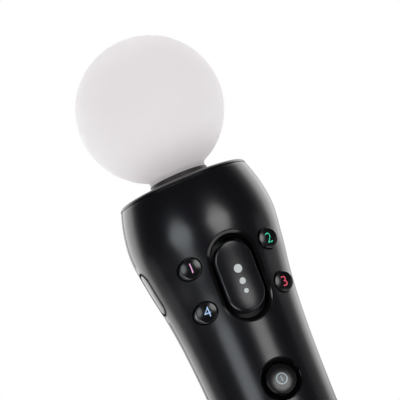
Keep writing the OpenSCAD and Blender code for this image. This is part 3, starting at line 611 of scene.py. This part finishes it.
def make_finishes():
    return {
        "satin_black": satin_abs(),
        "gloss_black": polished_abs(),
        "button_black": button_abs(),
        "sphere_white": white_rubber(),
        "collar_grey": collar_tpe(),
        "clear_resin": clear_acrylic(),
        "lamp_white": white_nylon(),
        "board_green": solder_mask(),
        "grey_rubber": silicone(),
        "steel": bright_steel(),
        "brass": gold_plate(),
        "chip_black": moulded_epoxy(),
        "frame_grey": frame_abs(),
        "battery_wrap": shrink_film(),
        "ribbon_amber": polyimide(),
        "lead_red": pvc(),
        "ink_grey": printed_ink("grey", "#B9BDBE", "#C8CCCC"),
        "ink_dim": printed_ink("pale_blue", "#9AABB2", "#A8B8BE"),
        "ink_pink": printed_ink("pink", "#EBA6DC", "#F2B8E4"),
        "ink_green": printed_ink("green", "#33C79A", "#44D2A8"),
        "ink_red": printed_ink("red", "#F0506A", "#F5647C"),
        "ink_blue": printed_ink("blue", "#A9CBF2", "#B8D6F6"),
    }


def dress(piece, body, finish, slot, *nodes):
    """Give a piece its finish, the body it moves with and the solids it stands for."""
    piece.data.materials.clear()
    piece.data.materials.append(finishes[finish])
    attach(piece, body)
    if nodes:
        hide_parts(*nodes)
    return piece


def dress_solids():
    """The solids that keep their own shape take a finish from their material slot."""
    for part in frame["record"]["subparts"]:
        solid = frame["nodes"][part["node"]]
        solid.data.materials.clear()
        solid.data.materials.append(finishes[part["material_slot"]])


# Pieces of the handle

def handle_tube(name):
    """The whole handle wall before it is parted, with softened edges at both ends."""
    low = END_H + PART_GAP / 2
    top = SEAM_Z - PART_GAP / 2
    soft = 0.12
    chamfer = 0.3 * soft
    rows = 190
    inner_rows = 24
    heights = [low + soft + (top - low - 2 * soft) * i / rows for i in range(rows + 1)]
    outer = [(handle_r(z) - SKIN, z) for z in heights]
    lower_edge = [(handle_r(low) - soft, low), (handle_r(low) - chamfer, low + chamfer)]
    upper_edge = [(handle_r(top) - chamfer, top - chamfer), (handle_r(top) - soft, top)]
    inner_heights = [top - (top - low) * i / inner_rows for i in range(inner_rows + 1)]
    inner = [(handle_r(z) - WALL, z) for z in inner_heights]
    return turned(name, lower_edge + outer + upper_edge + inner)


def parting_tool(shift):
    """Everything in front of the parting line, which runs round the side buttons."""
    far = 60.0
    half = SIDE_L / 2 - SIDE_R
    ear_r = SIDE_R + SIDE_STEP + SIDE_WRAP + shift
    ear = [(ear_r * math.cos(a), SIDE_Z + half + ear_r * math.sin(a)) for a in quarter(0)[::-1]]
    ear += [(y, 2 * SIDE_Z - z) for y, z in reversed(ear)]
    line = [(y, z) for y, z in ear if y > shift]
    outline = [(-far, -far), (shift, -far)] + line[::-1] + [(shift, 4 * far), (-far, 4 * far)]
    deselect()
    bpy.ops.mesh.primitive_circle_add(vertices=len(outline), fill_type="NGON")
    tool = bpy.context.object
    tool.name = "parting_tool"
    for vertex, (y, z) in zip(tool.data.vertices, outline):
        vertex.co = (-far * MM, y * MM, z * MM)
    edit(tool)
    bpy.ops.mesh.select_all(action="SELECT")
    bpy.ops.mesh.extrude_region_move(TRANSFORM_OT_translate={"value": (2 * far * MM, 0, 0)})
    leave()
    clean(tool)
    return tool


def parting_tongue():
    """Band inside the wall that follows the parting line, so that no light passes between the mouldings."""
    rows = 60
    short = 1.0
    heights = [END_H + short + (SEAM_Z - END_H - 2 * short) * i / rows for i in range(rows + 1)]
    outer = [(handle_r(z) - TONGUE_DEPTH, z) for z in heights]
    inner = [(handle_r(z) - WALL, z) for z in reversed(heights)]
    piece = turned("parting_tongue", outer + inner)
    cut(piece, parting_tool(TONGUE), "INTERSECT")
    cut(piece, parting_tool(-TONGUE))
    return piece


FACE_PLACES = {
    "upper_left": (-FACE_X, FACE_UP_Z),
    "upper_right": (FACE_X, FACE_UP_Z),
    "lower_left": (-FACE_X, FACE_LOW_Z),
    "lower_right": (FACE_X, FACE_LOW_Z),
}
ACTION_CORE = (0, ACTION_L / 2 - ACTION_R)
MOAT_HALF = (0, MOAT_L / 2 - MOAT_R)
SIDE_HALF = (0, SIDE_L / 2 - SIDE_R)
ROUND = (0, 0)


def front_moulding():
    """Front half of the handle with the holes for the moat, the dish and the buttons."""
    side_play = 0.1
    piece = handle_tube("front_moulding")
    cut(piece, parting_tool(-PART_GAP / 2), "INTERSECT")
    tools = [
        prism("moat_hole", along_y, (0, ACTION_Z), MOAT_HALF, MOAT_R + PART_GAP / 2, -CUT_FAR, -MOAT_CUT),
        prism("dish_hole", along_y, (0, HOME_Z), ROUND, DISH_R + PART_GAP / 2, -CUT_FAR, -MOAT_CUT),
    ]
    for x, z in FACE_PLACES.values():
        tools.append(prism("face_hole", along_y, (x, z), ROUND, FACE_HOLE_R, -CUT_FAR, -FACE_CUT))
    for side in (-1, 1):
        tools.append(prism("side_hole", along_x, (0, SIDE_Z), SIDE_HALF, SIDE_R + SIDE_STEP + side_play,
                           side * SIDE_CUT, side * CUT_FAR, axes=(1, 2)))
    cut(piece, join(tools))
    piece = join([piece, parting_tongue()])
    dress(piece, "handle", "satin_black", "satin_black", "front_shell")


SCREW_PLACES = [
    (-14.0, SEAM_Z - 6.2),
    (14.0, SEAM_Z - 6.2),
    (0.0, SEAM_Z - 76.0),
    (-10.5, 14.3),
    (10.5, 14.3),
]
SCREW_HOLE_R = 2.3


def rear_moulding():
    """Rear half of the handle with the trigger's opening and the screw holes."""
    piece = handle_tube("rear_moulding")
    cut(piece, parting_tool(PART_GAP / 2))
    centre = (0, (OPENING_LOW_Z + OPENING_TOP_Z) / 2)
    corner = 1.6
    half = (OPENING_HALF - corner, (OPENING_TOP_Z - OPENING_LOW_Z) / 2 - corner)
    tools = [prism("trigger_hole", along_y, centre, half, corner, TRIGGER_CUT, CUT_FAR)]
    for x, z in SCREW_PLACES:
        tools.append(prism("screw_hole", along_y, (x, z), ROUND, SCREW_HOLE_R, SCREW_CUT, CUT_FAR, around=32))
    cut(piece, join(tools))
    dress(piece, "handle", "satin_black", "satin_black", "rear_shell")


def moat_liner():
    """Polished channel round the action button: a bevelled rim, a steep wall and the button's hole."""
    edge = MOAT_R - PART_GAP / 2
    hole = ACTION_R + BUTTON_GAP
    skirt = 1.4
    bevel = 0.9
    bevel_slope = math.radians(31)
    bevel_drop = bevel * math.tan(bevel_slope)
    lip = 0.1
    sleeve = 1.6
    path = rounded([
        (edge, skirt, 0), (edge, 0, 0.06), (edge - bevel, bevel_drop, 0.1), (hole + lip, MOAT_DEPTH, 0.15),
        (hole, MOAT_DEPTH + lip, 0.05), (hole, MOAT_DEPTH + sleeve, 0)])
    piece = ringed("moat_liner", on_front, (0, ACTION_Z), MOAT_HALF, path, around=96, along=16)
    sheet_to_wall(piece, LINER_WALL, Vector((0, -1, 0)))
    dress(piece, "handle", "gloss_black", "gloss_black")


def dish_liner():
    """Polished dish round the home button."""
    edge = DISH_R - PART_GAP / 2
    hole = HOME_R + BUTTON_GAP
    skirt = 1.0
    lip = 0.1
    sleeve = 0.6
    path = rounded([
        (edge, skirt, 0), (edge, 0, 0.08), (hole + lip, DISH_DEPTH, 0.15),
        (hole, DISH_DEPTH + lip, 0.05), (hole, DISH_DEPTH + sleeve, 0)])
    piece = ringed("dish_liner", on_front, (0, HOME_Z), ROUND, path, around=72)
    sheet_to_wall(piece, LINER_WALL, Vector((0, -1, 0)))
    dress(piece, "handle", "gloss_black", "gloss_black")


def side_liner(name, side):
    """Step round a side button, with a thin lip over the edge of its hole."""
    edge = SIDE_R + SIDE_STEP
    hole = SIDE_R + BUTTON_GAP
    lip = 0.3
    ledge = 0.8
    sleeve = 2.2
    wall = 0.25
    path = rounded([
        (edge + lip, -0.02, 0), (edge + lip / 3, -0.03, 0), (edge, 0.05, 0.1), (edge, ledge, 0.2),
        (hole, ledge + 0.05, 0.1), (hole, sleeve, 0)])
    piece = ringed(name + "_side_liner", on_side(side), (0, SIDE_Z), SIDE_HALF, path, axes=(1, 2))
    sheet_to_wall(piece, wall, Vector((side, 0, 0)))
    dress(piece, "handle", "satin_black", "satin_black")


def key_path(radius, skirt, edge, flat, rings, drop=EDGE_DROP, steps=6):
    """Path of a button: up its skirt, round its edge and in over its top to the middle."""
    path = rounded([(radius, skirt, 0), (radius, drop, edge), (radius - flat, 0, 0)], steps)
    return path + [(ring, 0) for ring in rings] + [(0, 0)]


def action_key():
    """Thumb button with a slight hollow and a soft edge."""
    path = key_path(ACTION_R, skirt=4.6, edge=0.9, flat=2.6, rings=(2.2, 1.0), steps=8)
    piece = ringed("action_key", on_action, (0, ACTION_Z), ACTION_CORE, path, around=96, along=16)
    close_ends(piece)
    dress(piece, "action_button", "satin_black", "satin_black", "action_button")


def face_surface(x, z):
    top = (x, -math.sqrt(handle_r(z) ** 2 - x * x) - FACE_PROUD, z)
    return on_dome(top, FACE_DOME, math.copysign(FACE_TURN, x), FACE_LEAN)


def face_key(place):
    """Round button whose top turns a little to its own side."""
    x, z = FACE_PLACES[place]
    path = key_path(FACE_R, skirt=5.6, edge=0.35, flat=1.6, rings=(0.9,))
    piece = ringed(place + "_key", face_surface(x, z), (x, z), ROUND, path)
    close_ends(piece)
    dress(piece, place + "_button", "button_black", "gloss_black", "face_button_" + place)


def home_surface():
    return on_dome((0, -handle_r(HOME_Z), HOME_Z), HOME_DOME, lean=-HOME_LEAN)


def home_key():
    """Round button in the dish, with a leaning domed top."""
    path = key_path(HOME_R, skirt=3.4, edge=0.3, flat=1.8, rings=(1.4,))
    piece = ringed("home_key", home_surface(), (0, HOME_Z), ROUND, path)
    close_ends(piece)
    dress(piece, "home_button", "button_black", "gloss_black", "home_button")


def side_key(name, side):
    """Long button flush with the handle's side."""
    path = key_path(SIDE_R, skirt=2.6, edge=0.4, flat=1.4, rings=(0.7,), drop=0)
    piece = ringed(name + "_side_key", on_side(side), (0, SIDE_Z), SIDE_HALF, path, axes=(1, 2))
    close_ends(piece)
    dress(piece, name + "_side_button", "button_black", "satin_black", name + "_side_button")


def trigger_shell():
    """Finger trigger with rounded edges and a hooked lower lip, hollow behind its face."""
    centre = (0, (TRIGGER_LOW_Z + TRIGGER_TOP_Z) / 2)
    half = (TRIGGER_HALF - TRIGGER_ROUND, TRIGGER_H / 2 - TRIGGER_ROUND)
    skirt = 8.6
    edge = 1.5
    path = rounded([(TRIGGER_ROUND, skirt, 0), (TRIGGER_ROUND, 0, edge), (0, 0, 0)], 7)
    path += [(-1.5, 0), (-3.0, 0), (-half[0], 0)]
    piece = ringed("trigger_shell", on_trigger, centre, half, path, around=64, along=24)
    clean(piece)
    sheet_to_wall(piece, TRIGGER_WALL, Vector((0, 1, 0)))
    dress(piece, "trigger", "satin_black", "satin_black", "trigger")


def spring_coil():
    """Return spring behind the trigger: one wire wound on its seat, which the trigger presses together."""
    low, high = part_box("trigger_spring")
    wire_r = SPRING_WIRE_R * MM
    wire_sides = 10
    coil_r = (high.x - low.x) / 2 - wire_r
    pitch = (high.y - low.y - 2 * wire_r) / SPRING_TURNS
    seat = Vector((0, low.y, (low.z + high.z) / 2))
    deselect()
    bpy.ops.mesh.primitive_circle_add(vertices=wire_sides, radius=wire_r, fill_type="NOTHING",
                                      location=(coil_r, 0, 0))
    piece = bpy.context.object
    piece.name = "spring_coil"
    bpy.ops.object.transform_apply(location=True, rotation=True, scale=True)
    finish_with(piece, "SCREW", axis="Y", angle=math.tau, screw_offset=pitch,
                iterations=SPRING_TURNS, steps=24)
    for vertex in piece.data.vertices:
        vertex.co += seat + Vector((0, wire_r, 0))
    edit(piece)
    bpy.ops.mesh.select_all(action="SELECT")
    bpy.ops.mesh.fill_holes(sides=wire_sides)
    leave()
    clean(piece)
    dress(piece, "handle", "steel", "steel", "trigger_spring")
    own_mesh(piece)


def cap_moulding():
    """Cap under the sphere, with a rounded shoulder down to the seam."""
    low = SEAM_Z + PART_GAP / 2
    ceiling = low + 0.3
    rim = SEAM_R - 0.2
    rows = 8
    shoulder = []
    for a in quarter(0):
        shoulder.append((CAP_R + (SEAM_R - CAP_R) * math.cos(a), low + (CAP_EDGE_Z - low) * math.sin(a)))
    dome = []
    for i in range(1, rows + 1):
        r = CAP_R + (GUIDE_BORE - CAP_R) * i / rows
        dome.append((r, CAP_EDGE_Z + CAP_DOME * (1 - (r / CAP_R) ** 2)))
    under = [(GUIDE_BORE, ceiling), (SEAM_R - WALL, ceiling), (SEAM_R - WALL, low), (rim, low)]
    piece = turned("cap_moulding", shoulder + dome + under)
    dress(piece, "handle", "satin_black", "gloss_black", "top_cap")


def collar():
    """Two-step elastomer ring between cap and sphere."""
    low = CAP_TOP_Z - 0.26
    step_z = low + 0.62
    outline = rounded([
        (GUIDE_BORE, low, 0), (NECK_R + 0.7, low, 0.08), (NECK_R + 0.62, step_z, 0.18),
        (NECK_R + 0.3, step_z + 0.1, 0.05), (NECK_R + 0.26, COLLAR_TOP_Z, 0.15),
        (GUIDE_BORE, COLLAR_TOP_Z, 0)], 3)
    piece = turned("collar", outline)
    dress(piece, "handle", "collar_grey", "collar_grey", "collar_ring")


def light_ball():
    """Soft sphere that runs down into its neck, moulded round the light guide."""
    low_angle = -math.acos(NECK_R / SPHERE_R)
    flare = 1.6
    rows = 72
    outer = []
    for i in range(rows + 1):
        a = low_angle + (math.pi / 2 - low_angle) * i / rows
        outer.append((SPHERE_R * math.cos(a), SPHERE_Z + SPHERE_R * math.sin(a)))
    neck = rounded([(NECK_R, COLLAR_TOP_Z, 0), (NECK_R, NECK_TOP_Z, flare), (*outer[4], 0)], 6)
    piece = turned("light_ball", neck + outer[5:] + [(0, COLLAR_TOP_Z)], 128)
    dress(piece, "handle", "sphere_white", "sphere_white", "light_sphere")


def window(name, y, half):
    """Cutter for a socket's opening in the base."""
    return box(name, (-half[0], y - half[1], UNDER_Z), (half[0], y + half[1], WINDOW_TOP_Z))


def base_moulding():
    """End cap with its rounded foot, socket windows, contact holes and strap pocket."""
    top = END_H - PART_GAP / 2
    foot_r = OUTLINE[0][1] - BASE_ROUND
    chamfer = 0.2
    foot = []
    for a in quarter(-90):
        foot.append((foot_r + BASE_ROUND * math.cos(a), BASE_ROUND + BASE_ROUND * math.sin(a)))
    side = [(handle_r(z), z) for z in (5.0, 7.0, top - chamfer)] + [(handle_r(top) - chamfer, top)]
    piece = turned("base_moulding", [(0, 0)] + foot + side + [(0, top)])
    tools = [
        window("usb_window", USB_Y, USB_HALF),
        window("port_window", PORT_Y, PORT_HALF),
        box("strap_pocket", (-STRAP_HALF, STRAP_Y, UNDER_Z), (STRAP_HALF, CUT_FAR, STRAP_TOP_Z)),
    ]
    for x in (-CONTACT_X, CONTACT_X):
        tools.append(upright_peg("contact_hole", (x, CONTACT_Y), CONTACT_HOLE_R, UNDER_Z, WINDOW_TOP_Z))
    cut(piece, join(tools))
    bar = prism("strap_bar", along_x, (STRAP_BAR_Y, STRAP_BAR_Z), ROUND, STRAP_BAR_R,
                -STRAP_BAR_HALF, STRAP_BAR_HALF, axes=(1, 2), around=32)
    piece = join([piece, bar])
    smooth(piece)
    dress(piece, "handle", "satin_black", "satin_black", "end_cap")


def upright_peg(name, centre, radius, low, high):
    """Upright cylinder."""
    deselect()
    bpy.ops.mesh.primitive_cylinder_add(vertices=48, radius=radius * MM, depth=(high - low) * MM,
                                        location=(centre[0] * MM, centre[1] * MM, (low + high) / 2 * MM))
    piece = bpy.context.object
    piece.name = name
    bpy.ops.object.transform_apply(location=True, rotation=True, scale=True)
    return piece


# Printed marks

INK_LIFT = -0.03
INK_T = 0.06
NUMERAL_H = 4.4
NUMERAL_THIN = 0.012
ACTION_DOTS = ((-4.6, 0.7), (-1.6, 0.95), (2.2, 1.25))
HOME_RING_R = 1.75
HOME_RING_INNER = 1.4
HOME_BAR_HALF = 0.65
HOME_BAR_R = 0.17


def lay_flat(piece, lay, centre):
    """Lay a flat mark drawn in x and y on a button's surface, and give it the thickness of a print."""
    for vertex in piece.data.vertices:
        point = lay(centre[0] + vertex.co.x / MM, centre[1] + vertex.co.y / MM, INK_LIFT)
        vertex.co = [c * MM for c in point]
    sheet_to_wall(piece, INK_T, Vector((0, -1, 0)))


def numeral(name, text, height):
    """Flat numeral of thin strokes, centred on its own middle."""
    deselect()
    bpy.ops.object.text_add()
    piece = bpy.context.object
    piece.name = name
    piece.data.body = text
    piece.data.size = height * MM
    piece.data.offset = -NUMERAL_THIN * height * MM
    piece.data.resolution_u = 6
    bpy.ops.object.convert(target="MESH")
    xs = [v.co.x for v in piece.data.vertices]
    ys = [v.co.y for v in piece.data.vertices]
    middle = Vector(((min(xs) + max(xs)) / 2, (min(ys) + max(ys)) / 2, 0))
    for vertex in piece.data.vertices:
        vertex.co -= middle
    edit(piece)
    bpy.ops.mesh.select_all(action="SELECT")
    bpy.ops.mesh.remove_doubles(threshold=1e-7)
    bpy.ops.mesh.subdivide(number_cuts=2)
    leave()
    return piece


def face_mark(place, text, ink):
    """Numeral on a face button."""
    centre = FACE_PLACES[place]
    piece = numeral(place + "_mark", text, NUMERAL_H)
    lay_flat(piece, face_surface(*centre), centre)
    dress(piece, place + "_button", ink, "gloss_black")


def dot(name, lay, centre, radius):
    """Round printed dot."""
    path = [(radius, INK_T)] + [(radius * share, INK_LIFT) for share in (1, 0.6, 0.3, 0)]
    piece = ringed(name, lay, centre, ROUND, path, around=32)
    close_ends(piece)
    return piece


def action_mark():
    """Three dots that grow towards the sphere."""
    dots = [dot("action_mark", on_action, (0, ACTION_Z + rise), radius)
            for rise, radius in ACTION_DOTS]
    dress(join(dots), "action_button", "ink_grey", "satin_black")


def home_mark():
    """Ring with an upright bar in it."""
    lay = home_surface()
    ring_path = [(HOME_RING_R, INK_T), (HOME_RING_R, INK_LIFT),
                 (HOME_RING_INNER, INK_LIFT), (HOME_RING_INNER, INK_T)]
    ring = ringed("home_mark", lay, (0, HOME_Z), ROUND, ring_path, around=48)
    edit(ring)
    bpy.ops.mesh.select_all(action="DESELECT")
    bpy.ops.mesh.select_non_manifold()
    bpy.ops.mesh.bridge_edge_loops()
    leave()
    clean(ring)
    bar_path = [(HOME_BAR_R, INK_T), (HOME_BAR_R, INK_LIFT), (0, INK_LIFT)]
    bar = ringed("home_bar", lay, (0, HOME_Z), (0, HOME_BAR_HALF), bar_path, around=16)
    close_ends(bar)
    dress(join([ring, bar]), "home_button", "ink_dim", "gloss_black")


# Stage

# Camera: degrees round the wand, below it and leaning, then millimetres
CAMERA_TURN = 15.89
CAMERA_RISE = 5.90
CAMERA_LEAN = 22.99
CAMERA_REACH = 600.0
CAMERA_TARGET = Vector((0, 0, 127.5))
CAMERA_SHIFT = (-4.28, 18.50)
CAMERA_LENS = 180.2
BEHIND = Vector((math.sin(math.radians(CAMERA_TURN)), math.cos(math.radians(CAMERA_TURN)), 0))

# Lamps aim at the head; their reach and sizes and the floor's are in metres
LAMP_TARGET = Vector((0, 0, 135.0))
LAMP_REACH = 0.9
TABLE = 8.0
TABLE_FRONT = 0.03


def upright_turn(turn, rise):
    """Rotation of a camera or lamp that looks at the wand's front from below or above."""
    return Matrix.Rotation(math.radians(turn), 3, "Z") @ Matrix.Rotation(math.radians(90 + rise), 3, "X")


def make_camera():
    rotation = upright_turn(-CAMERA_TURN, CAMERA_RISE) @ Matrix.Rotation(math.radians(-CAMERA_LEAN), 3, "Z")
    right, up, back = rotation.col
    place = CAMERA_TARGET + CAMERA_SHIFT[0] * right + CAMERA_SHIFT[1] * up + CAMERA_REACH * back
    data = bpy.data.cameras.new("photo_camera")
    data.sensor_fit = "HORIZONTAL"
    data.sensor_width = 36.0
    data.lens = CAMERA_LENS
    data.clip_start = 0.01
    camera = bpy.data.objects.new("photo_camera", data)
    camera.matrix_world = Matrix.Translation(place * MM) @ rotation.to_4x4()
    bpy.context.scene.collection.objects.link(camera)
    bpy.context.scene.camera = camera


def softbox(name, turn, rise, size, power, tint=(1.0, 1.0, 1.0), mirrored=True):
    """Oval lamp that faces the wand's head; turn and rise are degrees from the button side.

    A lamp that isn't mirrored lights the wand but doesn't show in its gloss.
    """
    rotation = upright_turn(turn, -rise)
    data = bpy.data.lights.new(name, "AREA")
    data.shape = "ELLIPSE"
    data.size, data.size_y = size
    data.energy = power
    data.color = tint
    lamp = bpy.data.objects.new(name, data)
    place = LAMP_TARGET * MM + rotation.col[2] * LAMP_REACH
    lamp.matrix_world = Matrix.Translation(place) @ rotation.to_4x4()
    lamp.visible_glossy = mirrored
    bpy.context.scene.collection.objects.link(lamp)


def make_lamps():
    cool = (0.90, 0.96, 1.0)
    softbox("left_softbox", -CAMERA_TURN - 31, 3, (0.52, 0.50), 2.2, cool)
    softbox("right_softbox", -CAMERA_TURN + 30, 3, (0.52, 0.50), 2.9)
    softbox("top_softbox", -CAMERA_TURN, 92, (0.75, 0.75), 3.4)
    softbox("low_left_softbox", -CAMERA_TURN - 70, -38, (0.6, 0.6), 4.0)
    softbox("low_right_softbox", -CAMERA_TURN + 62, -52, (0.72, 0.72), 1.6)
    softbox("sphere_fill", -CAMERA_TURN + 36, -52, (0.6, 0.6), 3.2, mirrored=False)
    softbox("right_rim_softbox", -CAMERA_TURN + 138, 12, (0.62, 0.9), 1.7)
    softbox("left_rim_softbox", -CAMERA_TURN - 134, 12, (0.74, 0.9), 2.2)


def make_world():
    """White studio backdrop behind the wand, a dimmer room in front of it."""
    world = bpy.data.worlds.new("studio")
    bpy.context.scene.world = world
    world.use_nodes = True
    tree = world.node_tree
    tree.nodes.clear()
    direction = add(tree, "ShaderNodeTexCoord").outputs["Generated"]
    facing = add(tree, "ShaderNodeVectorMath", {0: direction, 1: BEHIND}, operation="DOT_PRODUCT")
    room = add(tree, "ShaderNodeMapRange", {
        "Value": facing.outputs["Value"], "From Min": 0.1, "From Max": 0.7, "To Min": 0.03, "To Max": 1.0},
        interpolation_type="SMOOTHSTEP")
    path = add(tree, "ShaderNodeLightPath")
    seen = add(tree, "ShaderNodeMath", {
        0: path.outputs["Is Camera Ray"], 1: path.outputs["Is Transmission Ray"]}, operation="MAXIMUM")
    level = add(tree, "ShaderNodeMix", {
        "Factor": seen.outputs["Value"], "A": room.outputs["Result"], "B": 1.0})
    background = add(tree, "ShaderNodeBackground", {
        "Color": (1, 1, 1, 1), "Strength": level.outputs["Result"]})
    add(tree, "ShaderNodeOutputWorld", {"Surface": background.outputs["Background"]})


def make_floor():
    # Painted studio floor: pale and matt with a faint roller texture
    deselect()
    bpy.ops.mesh.primitive_plane_add(size=TABLE, rotation=(0, 0, math.radians(-CAMERA_TURN)))
    floor = bpy.context.object
    bpy.ops.object.transform_apply(location=True, rotation=True, scale=True)
    floor.name = "studio_floor"
    paint = surface("painted_floor", ("#F4F4F4", "#F7F7F7"), 60.0, 3.0, (0.6, 0.7), 0.01, IOR=1.4)
    floor.data.materials.append(paint)
    sweep_to_white(paint.node_tree)
    open_in_front(paint.node_tree)


def sweep_to_white(tree):
    """Past the wand's shadow the floor runs out into the white backdrop."""
    output = next(n for n in tree.nodes if n.bl_idname == "ShaderNodeOutputMaterial")
    painted = output.inputs["Surface"].links[0].from_socket
    place = add(tree, "ShaderNodeTexCoord").outputs["Object"]
    distance = add(tree, "ShaderNodeVectorMath", {0: place}, operation="LENGTH").outputs["Value"]
    away = add(tree, "ShaderNodeMapRange", {"Value": distance, "From Min": 0.15, "From Max": 0.55},
               interpolation_type="SMOOTHSTEP")
    seen = add(tree, "ShaderNodeLightPath").outputs["Is Camera Ray"]
    share = add(tree, "ShaderNodeMath", {0: away.outputs["Result"], 1: seen}, operation="MULTIPLY")
    white = add(tree, "ShaderNodeEmission", {"Color": (1, 1, 1, 1), "Strength": 1.0})
    blend = add(tree, "ShaderNodeMixShader", {
        "Fac": share.outputs["Value"], 1: painted, 2: white.outputs["Emission"]})
    tree.links.new(blend.outputs["Shader"], output.inputs["Surface"])


def open_in_front(tree):
    """In front of the wand only the camera sees the floor, so that the low lamps reach the wand."""
    output = next(n for n in tree.nodes if n.bl_idname == "ShaderNodeOutputMaterial")
    painted = output.inputs["Surface"].links[0].from_socket
    place = add(tree, "ShaderNodeTexCoord").outputs["Object"]
    along = add(tree, "ShaderNodeVectorMath", {0: place, 1: BEHIND}, operation="DOT_PRODUCT").outputs["Value"]
    front = add(tree, "ShaderNodeMath", {0: along, 1: -TABLE_FRONT}, operation="LESS_THAN").outputs["Value"]
    seen = add(tree, "ShaderNodeLightPath").outputs["Is Camera Ray"]
    unseen = add(tree, "ShaderNodeMath", {0: front, 1: seen}, operation="SUBTRACT", use_clamp=True)
    clear = add(tree, "ShaderNodeBsdfTransparent")
    blend = add(tree, "ShaderNodeMixShader", {
        "Fac": unseen.outputs["Value"], 1: painted, 2: clear.outputs["BSDF"]})
    tree.links.new(blend.outputs["Shader"], output.inputs["Surface"])


finishes = make_finishes()
dress_solids()
front_moulding()
rear_moulding()
moat_liner()
dish_liner()
action_key()
home_key()
for place in FACE_PLACES:
    face_key(place)
for name, side in (("left", -1), ("right", 1)):
    side_liner(name, side)
    side_key(name, side)
trigger_shell()
spring_coil()
cap_moulding()
collar()
light_ball()
base_moulding()
face_mark("upper_left", "1", "ink_pink")
face_mark("upper_right", "2", "ink_green")
face_mark("lower_right", "3", "ink_red")
face_mark("lower_left", "4", "ink_blue")
action_mark()
home_mark()
make_camera()
make_lamps()
make_world()
make_floor()
bpy.context.scene.view_settings.view_transform = "Standard"
